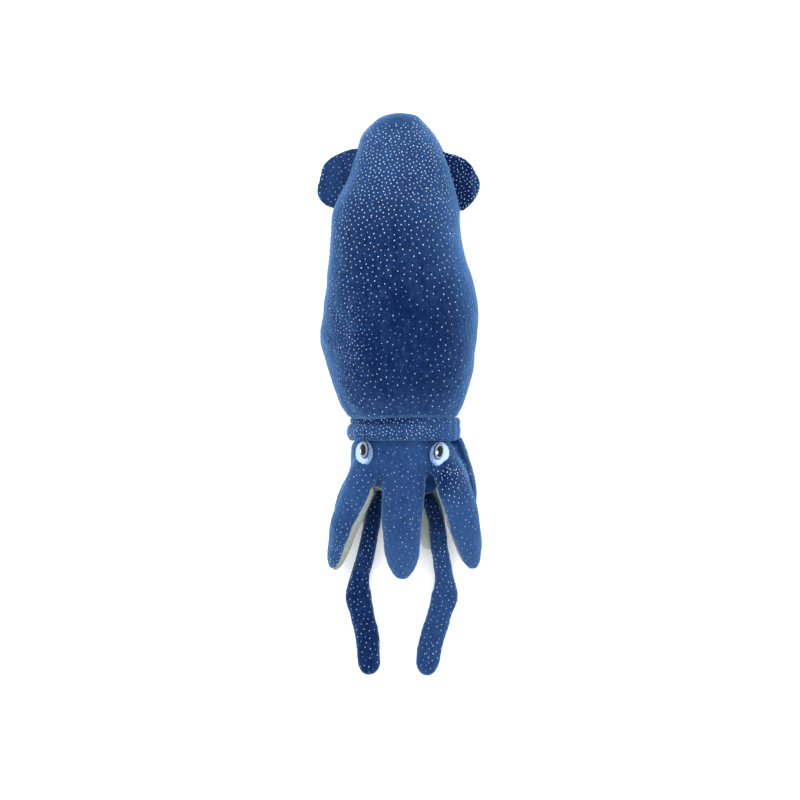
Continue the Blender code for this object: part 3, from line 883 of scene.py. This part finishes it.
def pile_group():
    """Short pile: brushed patches drawn out along the toy, clumps and single fibres, as colour and height."""
    found = bpy.data.node_groups.get("Brushed pile")
    if found:
        return found
    group, given, result = new_group(
        "Brushed pile",
        (
            ("Vector", "NodeSocketVector", None),
            ("Deep", "NodeSocketColor", (0.0, 0.0, 0.0, 1.0)),
            ("Light", "NodeSocketColor", (1.0, 1.0, 1.0, 1.0)),
            ("Middle", "NodeSocketFloat", 0.5),
            ("Patches", "NodeSocketFloat", 1.0),
            ("Clumps", "NodeSocketFloat", 0.5),
            ("Fibres", "NodeSocketFloat", 0.5),
        ),
        (("Color", "NodeSocketColor"), ("Height", "NodeSocketFloat")),
    )
    where = given.outputs["Vector"]
    drawn_out = add(group, "ShaderNodeVectorMath", {"operation": "MULTIPLY"})
    put(group, drawn_out.inputs[0], where)
    put(group, drawn_out.inputs[1], (1.0, 0.45, 1.0))
    patches = noise(group, drawn_out.outputs[0], 30.0, 4.0, 0.6)
    clumps = noise(group, drawn_out.outputs[0], 260.0, 2.0, 0.6)
    fibres = noise(group, where, 900.0, 1.0, 0.6)
    # The middle tone is the piece's own: painted light and shade with the cloth's tone.
    shade = given.outputs["Middle"]
    for strand, strength in ((patches, "Patches"), (clumps, "Clumps"), (fibres, "Fibres")):
        shade = maths(group, "ADD", shade, maths(group, "MULTIPLY", strand, given.outputs[strength]))
    shade = maths(group, "ADD", shade, 0.0, clamped=True)
    height = maths(group, "ADD", maths(group, "MULTIPLY", clumps, 1.4), fibres)
    wire(group, result, Color=mixed(group, shade, given.outputs["Deep"], given.outputs["Light"]))
    wire(group, result, Height=height)
    return group


def velour(name, deep, light, edge, sheen=0.9, patches=1.1, grain=1.0):
    """Cloth with a short pile: light catches the pile's ends where the cloth turns away.

    How light or dark the pile is, painted light and shade together with the cloth's own tone, is an attribute
    of the piece.
    """
    def build(tree, shader, where):
        pile = add(
            tree, "ShaderNodeGroup", {"node_tree": pile_group()}, Vector=where, Deep=deep, Light=light,
            Middle=own_value(tree, "tone_and_painted_light"), Patches=patches, Clumps=grain, Fibres=1.2 * grain,
        )
        wire(
            tree, shader, Base_Color=pile.outputs["Color"], Roughness=0.95, Specular_IOR_Level=0.0,
            Sheen_Weight=sheen, Sheen_Roughness=0.42, Sheen_Tint=edge,
        )
        relief(tree, shader, 0.8, pile.outputs["Height"])
    return material(name, build)


def blue_velour():
    """The toy's dark blue cloth."""
    c = bpy.context.scene.squid_colours
    return velour("blue velour", c.velour_deep, c.velour_light, c.velour_sheen)


def cream_velour():
    """The cream cloth under the arms, with little sheen and a fine grain."""
    c = bpy.context.scene.squid_colours
    return velour(
        "cream velour", c.cream_deep, c.cream_light, (1.0, 1.0, 0.9, 1.0), sheen=0.15, patches=0.25, grain=0.3
    )


def ring_ramp(tree, value, *stops):
    """Colours along a value, as (place, colour) stops."""
    made = add(tree, "ShaderNodeValToRGB", Fac=value)
    ramp = made.color_ramp
    ramp.elements[0].position, ramp.elements[0].color = stops[0]
    ramp.elements[1].position, ramp.elements[1].color = stops[-1]
    for place, tone in stops[1:-1]:
        ramp.elements.new(place).color = tone
    return made.outputs["Color"]


def disc_map(tree):
    """The piece's own map, and the distance from its middle: 0 there and 1 at its rim."""
    spot = add(tree, "ShaderNodeUVMap", {"uv_map": "disc"}).outputs["UV"]
    return spot, length_of(tree, spot)


def patch_plush():
    """Pale soft plush that fades to blue at its rim, with longer fibres."""
    c = bpy.context.scene.squid_colours

    def build(tree, shader, where):
        ragged = maths(tree, "MULTIPLY", noise(tree, where, 700.0), 0.35)
        rim = maths(tree, "ADD", disc_map(tree)[1], ragged)
        tone = ring_ramp(
            tree, rim, (0.0, c.patch_light), (0.74, c.patch_light), (0.96, c.patch_rim), (1.0, c.patch_rim)
        )
        fibres = noise(tree, where, 1100.0)
        shade = maths(tree, "ADD", maths(tree, "MULTIPLY", fibres, 0.9), 0.12, clamped=True)
        wire(
            tree, shader, Base_Color=mixed(tree, shade, tone, (0.22, 0.34, 0.55, 1.0)), Roughness=0.95,
            Sheen_Weight=0.5, Sheen_Tint=(0.85, 0.93, 1.0, 1.0),
        )
        relief(tree, shader, 0.6, fibres)
    return material("ice blue plush", build)


def eye_gloss():
    """Clear domed plastic over a black pupil, a pale ring and a thin dark rim, with a painted highlight."""
    c = bpy.context.scene.squid_colours

    def build(tree, shader, where):
        flecks = maths(tree, "MULTIPLY", noise(tree, where, 500.0), 0.05)
        spot, away = disc_map(tree)
        tone = ring_ramp(
            tree, maths(tree, "ADD", away, flecks), (0.0, c.pupil), (0.62, c.pupil), (0.68, c.iris),
            (0.86, c.iris), (0.91, c.iris_rim), (1.0, c.iris_rim),
        )
        glint = add(tree, "ShaderNodeMapping", Vector=spot, Location=(3.3, 0.7, 0.0), Scale=(6.0, 4.6, 1.0))
        inside = maths(tree, "LESS_THAN", length_of(tree, glint.outputs["Vector"]), 1.0)
        wire(
            tree, shader, Base_Color=mixed(tree, inside, tone, (0.75, 0.82, 0.88, 1.0)), Roughness=0.08,
            Specular_IOR_Level=0.05,
        )
    return material("eye gloss", build)


def silver_foil():
    """Pressed foil with a painted reflection: bright or dim by each dot's own painted dimming."""
    c = bpy.context.scene.squid_colours

    def build(tree, shader, where):
        tone = mixed(tree, own_value(tree, "wear"), c.foil, c.foil_dim)
        rough = maths(tree, "ADD", maths(tree, "MULTIPLY", noise(tree, where, 900.0, 1.0), 0.3), 0.42)
        wire(tree, shader, Base_Color=tone, Metallic=0.75, Roughness=rough)
    return material("silver foil", build)


# Foil dots

Dots = namedtuple("Dots", "centre normal along length width wear")


def dot_net(surface, spacing, rows=120, columns=120):
    """Dots of a local spacing on a surface, as shares and turns.

    The surface is read on a grid, and each cell holds its area over the spacing squared dots. The
    number of dots up to a share gives each dot's share, and each dot moves on round the surface by
    the golden section of the dots there, so they cover it evenly.
    """
    share, turn = np.meshgrid(np.linspace(0, 1, rows), np.linspace(0, 1, columns), indexing="ij")
    points = surface(share.ravel(), turn.ravel()).reshape(rows, columns, 3)
    along = points[1:, :-1] - points[:-1, :-1]
    across = points[:-1, 1:] - points[:-1, :-1]
    area = np.linalg.norm(np.cross(along, across), axis=-1)
    centres = (points[1:, 1:] + points[:-1, :-1]) / 2
    density = area / spacing(centres.reshape(-1, 3)).reshape(area.shape) ** 2
    per_row = density.sum(axis=1)
    total = np.concatenate([[0.0], np.cumsum(per_row)])
    index = np.arange(int(total[-1]))
    shares = np.interp(index + 0.5, total, share[:, 0])
    row = np.clip(np.searchsorted(share[:, 0], shares) - 1, 0, rows - 2)
    so_far = np.concatenate([np.zeros((rows - 1, 1)), np.cumsum(density, axis=1)], axis=1)
    so_far /= np.maximum(per_row, 1e-12)[:, None]
    apart = 2.0
    level = np.arange(rows - 1)[:, None] * apart
    turns = np.interp(
        (index * GOLDEN) % 1 + row * apart, (so_far + level).ravel(), np.tile(turn[0], rows - 1)
    )
    return shares, np.clip(turns, 0, 1)


def spread(spots, spacing, rounds=12):
    """Spots pushed apart, each by its overlap with every neighbour closer than their spacing."""
    reach = 0.55 * (spacing[:, None] + spacing[None])
    for _ in range(rounds):
        square = np.sum(spots**2, axis=1)
        away = np.sqrt(np.maximum(square[:, None] + square[None] - 2 * spots @ spots.T, 1e-12))
        push = np.clip(reach - away, 0, None) / away
        np.fill_diagonal(push, 0)
        spots = spots + 0.2 * (spots * push.sum(axis=1)[:, None] - push @ spots)
    return spots


def dots_on(cover, surface, spacing, seed, stretch=1.0, wear=0.35, keep=None, jitter=0.15 * MM, wide=1.0):
    """Dots of a net set on the nearest spot of a finished cover, where that is close by.

    Jitter shifts each dot by chance, stretch draws the dots out along the surface's share and wide
    is their width over the usual one. Each dot's tone is a painted reflection, dimmer where the cloth faces
    sideways.
    """
    size = bpy.context.scene.squid_sizes.foil_dot * wide
    draw = np.random.default_rng(seed + 100)
    shares, turns = dot_net(surface, spacing)
    spots = surface(shares, turns)
    spots = spread(spots + draw.normal(0, 2 * jitter, spots.shape), spacing(spots))
    spots = spots + draw.normal(0, 0.4 * jitter, spots.shape)
    step = 0.004
    ahead = surface(np.clip(shares + step, 0, 1), turns) - surface(np.clip(shares - step, 0, 1), turns)
    tree = BVHTree.FromObject(cover, bpy.context.evaluated_depsgraph_get())
    found = [tree.find_nearest(Vector(spot)) for spot in spots]
    centre, normal, away = (np.array([hit[k] for hit in found]) for k in (0, 1, 3))
    chosen = (away < DOT_REACH) & (np.linalg.norm(ahead, axis=1) > 1e-6)
    if keep is not None:
        chosen &= keep(centre, normal)
    centre, normal, ahead = centre[chosen], normal[chosen], ahead[chosen]
    count = len(centre)
    along = unit(ahead - normal * np.sum(ahead * normal, axis=1)[:, None] + TINY)
    sideways = 1 - np.clip(normal[:, 2], 0, 1)
    # Painted reflection: dots facing sideways, away from the lights, are painted dimmer.
    dimmed = wear(centre) if callable(wear) else np.full(count, wear)
    dimmed = np.clip(dimmed + 0.7 * ease(1.3 * sideways) + draw.normal(0, 0.25, count), 0, 1)
    width = size / 2 * draw.uniform(0.82, 1.12, count) * (1 + 0.2 * dimmed)
    return Dots(centre, normal, along, width * stretch, width, dimmed)


def dots_piece(name, *groups):
    """One mesh of all dots of some groups: each a lens on a ring, pressed a little into the cloth."""
    centre, normal, along, long, width, wear = (np.concatenate(part) for part in zip(*groups))
    across = np.cross(normal, along)
    a = 2 * np.pi * np.arange(DOT_SIDES) / DOT_SIDES
    ring = (
        centre[:, None]
        + along[:, None] * (long[:, None] * np.cos(a))[..., None]
        + across[:, None] * (width[:, None] * np.sin(a))[..., None]
        + normal[:, None] * DOT_PROUD
    )
    top = centre + normal * (DOT_PROUD + width * DOT_RISE)[:, None]
    bottom = centre - normal * (width * DOT_DEPTH)[:, None]
    points = np.concatenate([ring, top[:, None], bottom[:, None]], axis=1)
    each = DOT_SIDES + 2
    k = np.arange(DOT_SIDES)
    n = (k + 1) % DOT_SIDES
    upper = np.column_stack([k, n, np.full(DOT_SIDES, DOT_SIDES)])
    lower = np.column_stack([n, k, np.full(DOT_SIDES, DOT_SIDES + 1)])
    faces = np.arange(len(centre))[:, None, None] * each + np.vstack([upper, lower])[None]
    mesh = mesh_from(name, points.reshape(-1, 3), [faces.reshape(-1, 3)])
    paint(mesh, "wear", np.repeat(wear, each))
    dress(linked(name, mesh), silver_foil(), "silver_foil")


# Operators

def mantle_painted_light(points):
    """Painted light and shade on the mantle: lighter towards the tip, on the left bulge, down the right side
    and by the neck; painted shade low in the middle.
    """
    x, y, z = points.T
    bulge = ridge(y, 55, 45) * past(-x, 30, 30)
    right = ridge(y, 135, 42) * past(x, 22, 25)
    light = 0.62 * past(y, 80, 170) + 0.34 * under(y, 10, 30)
    return 0.08 + light + 0.42 * bulge + 0.32 * right + 0.3 * past(x, 42, 30)


def mantle_relief(points):
    """How far the mantle's skin stands out: slight lumps, two side seams, gathers and a puckered bulge."""
    x, y, z = points.T
    rows = mantle_columns(np.linspace(0, 1, 400))
    order = np.argsort(rows[0])
    middle, half, depth, height = (np.interp(y, rows[0][order], row[order]) for row in rows[1:])
    angle = np.arctan2((z - height) / depth, (x - middle) / half)
    push = unevenness(points, (0.9, 85, 11), (0.28, 24, 12))
    from_right = np.abs(angle + SIDE_SEAM)
    from_left = np.abs(np.pi - from_right + 2 * SIDE_SEAM)
    push -= 1.4 * MM * ridge(np.minimum(from_right, from_left) * half, 0, 1.6) * under(y, 275, 20)
    push += ridge(y, -10, 9) * creased(angle, NECK_GATHERS)
    on_bulge = ridge(y, 60, 50) * past(-x, 20, 25)
    return push + 0.22 * MM * on_bulge * lumps(points, 5.5 * MM, 13, 15)


class SQUID_OT_mantle(bpy.types.Operator):
    """Stuffed mantle cover: simulated cloth drawn back to the outline, with side seams and slight lumps"""
    bl_idname = "squid.mantle"
    bl_label = "Mantle cover"

    def execute(self, context):
        target = linked("mantle_target", mesh_from("mantle_target", *tube(mantle, 160, 120)))
        cover = linked("mantle_cover", mesh_from("mantle_cover", *tube(mantle, 120, 90)))
        stuff(cover, MANTLE_FILLING)
        pull_to(cover, target, 0.75)
        bpy.data.objects.remove(target)
        points = points_of(cover.data)
        push_out(cover.data, mantle_relief(points))
        paint(cover.data, "tone_and_painted_light", mantle_painted_light(points))
        dress(cover, blue_velour(), "blue_velour", "mantle", fill=0.85)
        return {"FINISHED"}


class SQUID_OT_collar(bpy.types.Operator):
    """Rolled hem round the neck: a thin fold over a full roll"""
    bl_idname = "squid.collar"
    bl_label = "Collar roll"

    def execute(self, context):
        roll = joined("collar_roll", [tube(collar, 64, 360), tube(neck, 12, 90)])
        x, y, z = points_of(roll.data).T
        a = np.arctan2((z - NECK[1]) / COLLAR_DEPTH, x - NECK[0])
        share = (COLLAR_TOP - y) / COLLAR_LENGTH
        # Painted shade in the upper fold, deepest towards the left.
        fold_shade = ease((collar_split(a) + 0.05 - share) / 0.1) * ease(0.75 - 0.8 * np.cos(a))
        paint(roll.data, "tone_and_painted_light", 0.75 - 0.6 * fold_shade)
        dress(roll, blue_velour(), "blue_velour", "collar", fill=0.7)
        return {"FINISHED"}


def head_painted_shade(points):
    """Painted shade on the head and the arms: in the hollow inside the right arm, the valley left of the
    centre arm, behind the right side and over the right arm's root, with a painted shadow under the collar;
    the left arm a little darker.
    """
    x, y, z = points.T
    hollow = ridge(x, 33, 12) * ridge(y, -88, 18)
    left_valley = ridge(x, -22, 8) * ridge(y, -86, 10)
    at_back = under(z, 66, 10) * past(x, 54, 8) * past(y, -110, 15)
    right_root = past(x, 38, 8) * past(y, -115, 35)
    left_arm = past(-x, 34, 14) * under(y, -100, 30)
    dark = 0.75 * hollow + 0.5 * left_valley + 1.1 * at_back + 0.35 * right_root + 0.3 * left_arm
    return 0.85 - dark - 0.6 * past(y, -51.5, 4)


def head_relief(points):
    """How far the head's skin stands out: slight lumps and the seam down its middle."""
    x, y, z = points.T
    on_seam = past(z, 60, 10) * ridge(y, -92, 16) * ridge(x, 1, 1.3)
    return unevenness(points, (0.5, 45, 21), (0.16, 14, 22)) - 0.9 * MM * on_seam


class SQUID_OT_head(bpy.types.Operator):
    """Head and the blue halves of the arms: one simulated cover, creased where the arms meet"""
    bl_idname = "squid.head"
    bl_label = "Head and arms"

    def execute(self, context):
        tubes = [tube(head, 60, 96)]
        tubes += [tube(arm_top(name), 60, 48, closed=False) for name in ARMS]
        tubes += [tube(web(*place), 30, 40) for place in WEBS]
        cover = joined("head_cover", tubes)
        stuff(cover, HEAD_FILLING)
        points = points_of(cover.data)
        push_out(cover.data, head_relief(points))
        paint(cover.data, "tone_and_painted_light", head_painted_shade(points))
        dress(cover, blue_velour(), "blue_velour", "head_and_arms", fill=0.8)
        return {"FINISHED"}


class SQUID_OT_linings(bpy.types.Operator):
    """Cream lower halves of the arms and the cream inside of the crown"""
    bl_idname = "squid.linings"
    bl_label = "Cream linings"

    def execute(self, context):
        for seed, name in enumerate(ARMS):
            lining = linked("arm_lining_" + name, mesh_from(name, *tube(arm_lining(name), 90, 48)))
            points = points_of(lining.data)
            push_out(lining.data, unevenness(points, (0.35, 16, 40 + seed)))
            # Painted light: the low linings, which lie in shade under the arms, are painted lighter than the
            # others.
            low = ARMS[name].roll == 270
            paint(lining.data, "tone_and_painted_light", np.full(len(points), 1.0 if low else 0.2))
            dress(lining, cream_velour(), "cream_velour", "underside_" + name, fill=0.7)
        dish = linked("crown_lining", mesh_from("crown_lining", *tube(mouth_dish, 48, 96)))
        paint(dish.data, "tone_and_painted_light", np.full(len(dish.data.vertices), 0.4))
        dress(dish, cream_velour(), "cream_velour", fill=0.5)
        return {"FINISHED"}


class SQUID_OT_fins(bpy.types.Operator):
    """Padded fins, cupped to their rims"""
    bl_idname = "squid.fins"
    bl_label = "Fins"

    def execute(self, context):
        for seed, name in enumerate(FIN_EDGES):
            flap = linked("fin_cover_" + name, mesh_from(name, *tube(fin(name), 60, 72)))
            stuff(flap, FIN_FILLING)
            points = points_of(flap.data)
            rim = past(np.abs(points[:, 0]), 67, 8)
            push_out(flap.data, (1 - 0.8 * rim) * unevenness(points, (0.3, 18, 50 + seed)))
            # Painted shade: the right fin dark in its cupped hollow and lighter at its rim; the left fin mid
            # blue, a little darker at its rim.
            paint(flap.data, "tone_and_painted_light", 0.68 - 0.2 * rim if name == "left" else -0.15 + 0.75 * rim)
            dress(flap, blue_velour(), "blue_velour", "fin_" + name, fill=0.5)
        return {"FINISHED"}


class SQUID_OT_tentacles(bpy.types.Operator):
    """Two long tentacles with clubs"""
    bl_idname = "squid.tentacles"
    bl_label = "Tentacles"

    def execute(self, context):
        for seed, name in enumerate(TENTACLES):
            limb = linked("tentacle_cover_" + name, mesh_from(name, *tube(tentacle(name), 160, 40)))
            stuff(limb, TENTACLE_FILLING)
            points = points_of(limb.data)
            push_out(limb.data, unevenness(points, (0.35, 20, 60 + seed)))
            # Painted shade near the head, where the arms overhang: both darker towards their roots, the left
            # one darker all along.
            lower = under(points[:, 1], -110, 60)
            paint(limb.data, "tone_and_painted_light", 0.1 + (0.55 if name == "right" else 0.05) * lower)
            dress(limb, blue_velour(), "blue_velour", "tentacle_" + name, fill=0.75)
        return {"FINISHED"}


def leaning(side, lean, yaw):
    """The unit vector that leans out from straight up to a side, turned by the yaw towards the arms."""
    lean, yaw = np.radians(lean), np.radians(yaw)
    return np.array([side * np.sin(lean) * np.cos(yaw), -np.sin(lean) * np.sin(yaw), np.cos(lean)])


def eye_place(name):
    """Centre and axis of an eye's patch, on the head's surface, and of the eye on it."""
    eye = EYES[name]
    side = -1 if name == "left" else 1
    a = np.radians(eye.angle)
    half_width = head_half(eye.y * MM)
    patch_axis = leaning(side, eye.patch_lean, eye.yaw)
    centre = PATCH_LIFT * patch_axis + np.array([
        NECK[0] + half_width * np.cos(a), eye.y * MM, NECK[1] + half_width * HEAD_DEPTH * np.sin(a)
    ])
    eye_axis = leaning(side, eye.eye_lean, eye.yaw)
    inwards, up_the_head, out = EYE_SHIFT
    rising = leaning(-side, 90 - eye.patch_lean, 0)
    middle = centre + inwards * rising + out * patch_axis + (0, up_the_head, EYE_LIFT)
    return centre, patch_axis, middle, eye_axis


def cushion(up):
    """Height of a patch at angles up from its rim, in front of the rim and behind it: nearly level inside."""
    return PATCH_RISE * np.sign(up) * np.sqrt(1 - np.cos(up) ** 4)


def button(up):
    """Height of an eye at angles up from its rim: a dome in front and a cone into the patch behind."""
    return np.where(up > 0, EYE_RISE * np.sin(up), EYE_SEAT * (np.cos(up) - 1))


def lens(centre, axis, radius, height):
    """A round form with its short way along the axis: the share runs from pole to pole."""
    tilt = np.array(Vector(axis).to_track_quat("Z", "Y").to_matrix())

    def surface(share, turn):
        up = (np.pi - POLE_GAP) * (share - 0.5)
        a = 2 * np.pi * turn
        away = radius * np.cos(up)
        local = np.column_stack([away * np.cos(a), away * np.sin(a), height(up)])
        return local @ tilt.T + centre
    return surface


def add_disc_map(mesh, centre, axis, radius):
    """A map named disc: where each corner lies across the axis, in radii from the middle."""
    right = unit(np.cross((0.0, 1.0, 0.0), axis))
    points = (points_of(mesh) - centre) / radius
    flat = np.column_stack([points @ right, points @ np.cross(axis, right)])
    behind = points @ axis < 0
    away = np.linalg.norm(flat, axis=1)
    flat[behind] *= (1 / np.maximum(away[behind], 1e-6))[:, None]
    corner = np.empty(len(mesh.loops), np.int32)
    mesh.loops.foreach_get("vertex_index", corner)
    layer = mesh.uv_layers.new(name="disc")
    layer.data.foreach_set("uv", flat[corner].astype(np.float32).ravel())


class SQUID_OT_eyes(bpy.types.Operator):
    """Pale plush patches and glossy domed eyes"""
    bl_idname = "squid.eyes"
    bl_label = "Eyes"

    def execute(self, context):
        for name in EYES:
            centre, patch_axis, middle, eye_axis = eye_place(name)
            cloth = lens(centre, patch_axis, PATCH_RADIUS, cushion)
            patch = linked("eye_patch_plush_" + name, mesh_from(name, *tube(cloth, 60, 96)))
            push_out(patch.data, unevenness(points_of(patch.data), (0.25, 3, 71)))
            add_disc_map(patch.data, centre, patch_axis, PATCH_RADIUS)
            dress(patch, patch_plush(), "ice_blue_plush", "eye_patch_" + name, fill=0.4)
            dome = lens(middle, eye_axis, EYE_RADIUS, button)
            ball = linked("eye_dome_" + name, mesh_from(name, *tube(dome, 60, 64)))
            add_disc_map(ball.data, middle, eye_axis, EYE_RADIUS)
            dress(ball, eye_gloss(), "eye_plastic", "eye_" + name)
        return {"FINISHED"}


def mantle_spacing(points):
    """Closest near the tip and on the left bulge, widest low down the middle."""
    x, y, z = points.T
    wide = under(y, 225, 100) * (0.5 + 0.15 * past(x, -10, 30))
    bulge = ridge(y, 60, 52) * past(-x, 18, 30)
    return bpy.context.scene.squid_sizes.foil_spacing * (1 + wide * (1 - bulge) - 0.08 * bulge)


def mantle_foil_dimming(points):
    """Painted reflection: bright towards the tip, dim low in the middle and on the left bulge."""
    x, y, z = points.T
    low = ridge(y, 45, 75) * ridge(x, 8, 32)
    bulge = ridge(y, 55, 60) * past(-x, 15, 20)
    return 0.2 + 0.9 * low + 0.45 * bulge + 0.25 * past(x, 35, 20) * under(y, 170, 60)


def collar_foil_dimming(points):
    """Painted reflection: bright on the left and in the middle, dim on the right."""
    return 0.15 + 0.55 * past(points[:, 0], 18, 30)


def head_spacing(points):
    """Closer beside the collar."""
    by_collar = past(points[:, 1], -56, 6)
    return bpy.context.scene.squid_sizes.foil_spacing * (1.35 - 0.35 * by_collar)


def head_foil_dimming(points):
    """Painted reflection: bright beside the collar, dim further on."""
    return 0.68 - 0.55 * past(points[:, 1], -54, 6)


def arm_zones(points, reach):
    """The root of the right arm and the tip of the left one."""
    x, y, z = points.T
    root = ridge(y, -74, reach) * past(x, 32, 10)
    return root, under(y, -125, 30) * past(-x, 40, 15)


def arm_spacing(points):
    """Close over the root of the right arm and at the tip of the left one, wide elsewhere."""
    root, left_tip = arm_zones(points, 24)
    return bpy.context.scene.squid_sizes.foil_spacing * (1.4 - 0.52 * root - 0.45 * left_tip)


def arm_foil_dimming(points):
    """Painted reflection: bright over the root of the right arm and at the tip of the left one."""
    root, left_tip = arm_zones(points, 26)
    return 0.58 - 0.5 * root - 0.25 * left_tip


def even(factor):
    """A spacing that is the same everywhere: the closest one times the factor."""
    def spacing(points):
        return np.full(len(points), bpy.context.scene.squid_sizes.foil_spacing * factor)
    return spacing


def off_patches(centre, normal):
    """Where the head's and the arms' dots lie: clear of the eye patches and of the collar."""
    patches = [eye_place(name)[0] for name in EYES]
    away = np.min([np.linalg.norm(centre - patch, axis=1) for patch in patches], axis=0)
    return (away > PATCH_RADIUS + 0.8 * MM) & (centre[:, 1] < HEAD_START)


def of_arms(centre):
    """Beyond the head, or over the right arm's root."""
    return (centre[:, 1] <= HEAD_END) | (centre[:, 0] > RIGHT_ROOT)


def on_mantle(centre, normal):
    """Above the collar and under the ragged end of the print at the tip."""
    top = DOTS_TOP + DOTS_RAGGED * lumps(centre, 5 * MM, 61)
    return (centre[:, 1] > COLLAR_TOP + 0.5 * MM) & (centre[:, 1] < top)


def on_head(centre, normal):
    """Where the head's own net is used."""
    return off_patches(centre, normal) & ~of_arms(centre)


def on_arms(centre, normal):
    """Where the arms' nets are used."""
    return off_patches(centre, normal) & of_arms(centre)


def on_side(centre, normal):
    """On the outer faces of the side arms only."""
    return off_patches(centre, normal) & (np.abs(normal[:, 0]) > 0.85)


class SQUID_OT_foil(bpy.types.Operator):
    """Foil dots on every blue cover, each about its spacing from the next"""
    bl_idname = "squid.foil"
    bl_label = "Foil dots"

    def execute(self, context):
        things = bpy.data.objects
        dots_piece("foil_mantle", dots_on(
            things["mantle_cover"], mantle, mantle_spacing, 1,
            stretch=1.15, wear=mantle_foil_dimming, keep=on_mantle, jitter=0.55 * MM,
        ))
        dots_piece("foil_collar", dots_on(
            things["collar_roll"], collar, even(0.92), 2, wear=collar_foil_dimming, jitter=0.5 * MM, wide=0.9
        ))
        cover = things["head_cover"]
        groups = [dots_on(
            cover, head, head_spacing, 3,
            stretch=1.4, wear=head_foil_dimming, keep=on_head, jitter=0.8 * MM, wide=0.75,
        )]
        groups += [
            dots_on(
                cover, arm_top(name), arm_spacing, 10 + seed, stretch=1.6, wear=arm_foil_dimming,
                keep=on_side if name.startswith("side") else on_arms, jitter=0.7 * MM, wide=0.72,
            )
            for seed, name in enumerate(ARMS)
        ]
        dots_piece("foil_head", *groups)
        dots_piece("foil_fins", *(
            dots_on(
                things["fin_cover_" + name], fin(name), even(factor), seed, wear=wear, jitter=jitter, wide=0.9
            )
            for name, factor, seed, wear, jitter in (
                ("left", 1.2, 30, 0.4, 0.8 * MM), ("right", 0.9, 31, 0.25, 0.5 * MM)
            )
        ))
        dots_piece("foil_tentacles", *(
            dots_on(
                things["tentacle_cover_" + name], tentacle(name), even(1.25), 40 + seed,
                stretch=1.7, wear=0.5, jitter=0.7 * MM, wide=0.68,
            )
            for seed, name in enumerate(TENTACLES)
        ))
        return {"FINISHED"}


FLOOR_HALF = 4.0  # m
FLOOR_GAP = 0.2 * MM  # under the model
FLOOR_GLOW = 0.2
SKY_LIGHT = 1.25
CAMERA_HEIGHT = 1.5  # m
AIM = (0.0, 0.0, 0.05)


def area_light(name, place, size, power, aim):
    """A soft square light that looks at a point."""
    light = bpy.data.lights.new(name, "AREA")
    light.shape = "SQUARE"
    light.size = size
    light.energy = power
    thing = bpy.data.objects.new(name, light)
    thing.location = place
    thing.rotation_euler = (Vector(aim) - Vector(place)).to_track_quat("-Z", "Y").to_euler()
    bpy.context.scene.collection.objects.link(thing)


class SQUID_OT_stage(bpy.types.Operator):
    """Plain floor, soft studio light and the camera straight above"""
    bl_idname = "squid.stage"
    bl_label = "Stage"

    def execute(self, context):
        scene = context.scene
        quarters = ((-1, -1), (1, -1), (1, 1), (-1, 1))
        corners = [(FLOOR_HALF * x, FLOOR_HALF * y, FLOOR - FLOOR_GAP) for x, y in quarters]
        mesh = bpy.data.meshes.new("floor")
        mesh.from_pydata(corners, [], [(0, 1, 2, 3)])
        floor = linked("floor", mesh)
        pale = scene.squid_colours.floor
        dull = tuple(0.985 * value for value in pale[:3]) + (1.0,)

        def build(tree, shader, where):
            tone = mixed(tree, noise(tree, where, 3.0), pale, dull)
            wire(
                tree, shader, Base_Color=tone, Roughness=0.9, Specular_IOR_Level=0.1,
                Emission_Color=WHITE, Emission_Strength=FLOOR_GLOW,
            )
        mesh.materials.append(material("floor", build))
        world = bpy.data.worlds.new("studio")
        world.use_nodes = True
        sky = world.node_tree
        wire(sky, sky.nodes["Background"], Color=WHITE, Strength=SKY_LIGHT)
        scene.world = world
        area_light("key", (-0.6, 0.7, 2.0), 1.6, 20, AIM)
        area_light("fill", (1.3, -0.5, 1.5), 1.6, 12, AIM)
        camera = bpy.data.cameras.new("camera")
        camera.type = "ORTHO"
        camera.ortho_scale = FRAME_PIXELS * PIXEL
        camera.clip_start = 0.01
        camera.clip_end = 10.0
        eye = bpy.data.objects.new("camera", camera)
        eye.location = (*FRAME_MIDDLE, CAMERA_HEIGHT)
        scene.collection.objects.link(eye)
        scene.camera = eye
        scene.view_settings.view_transform = "Standard"
        return {"FINISHED"}


OPERATORS = (
    SQUID_OT_mantle,
    SQUID_OT_collar,
    SQUID_OT_head,
    SQUID_OT_linings,
    SQUID_OT_fins,
    SQUID_OT_tentacles,
    SQUID_OT_eyes,
    SQUID_OT_foil,
    SQUID_OT_stage,
)


class SQUID_PT_panel(bpy.types.Panel):
    """Sidebar panel with every piece and the values behind it"""
    bl_idname = "SQUID_PT_panel"
    bl_label = "Plush squid"
    bl_space_type = "VIEW_3D"
    bl_region_type = "UI"
    bl_category = "Plush squid"

    def draw(self, context):
        for made in OPERATORS:
            self.layout.operator(made.bl_idname)
        for group in (context.scene.squid_sizes, context.scene.squid_colours):
            box = self.layout.box()
            for name in group.bl_rna.properties.keys():
                if name not in ("rna_type", "name"):
                    box.prop(group, name)


CLASSES = (SquidSizes, SquidColours) + OPERATORS + (SQUID_PT_panel,)


def register():
    """Registers every class and hangs the values on the scene."""
    for made in CLASSES:
        bpy.utils.register_class(made)
    bpy.types.Scene.squid_sizes = PointerProperty(type=SquidSizes)
    bpy.types.Scene.squid_colours = PointerProperty(type=SquidColours)


def unregister():
    """Takes the values and the classes away again."""
    del bpy.types.Scene.squid_colours
    del bpy.types.Scene.squid_sizes
    for made in reversed(CLASSES):
        bpy.utils.unregister_class(made)


def main():
    """Makes every piece in order."""
    register()
    for made in OPERATORS:
        group, name = made.bl_idname.split(".")
        getattr(getattr(bpy.ops, group), name)()


if __name__ == "__main__":
    main()
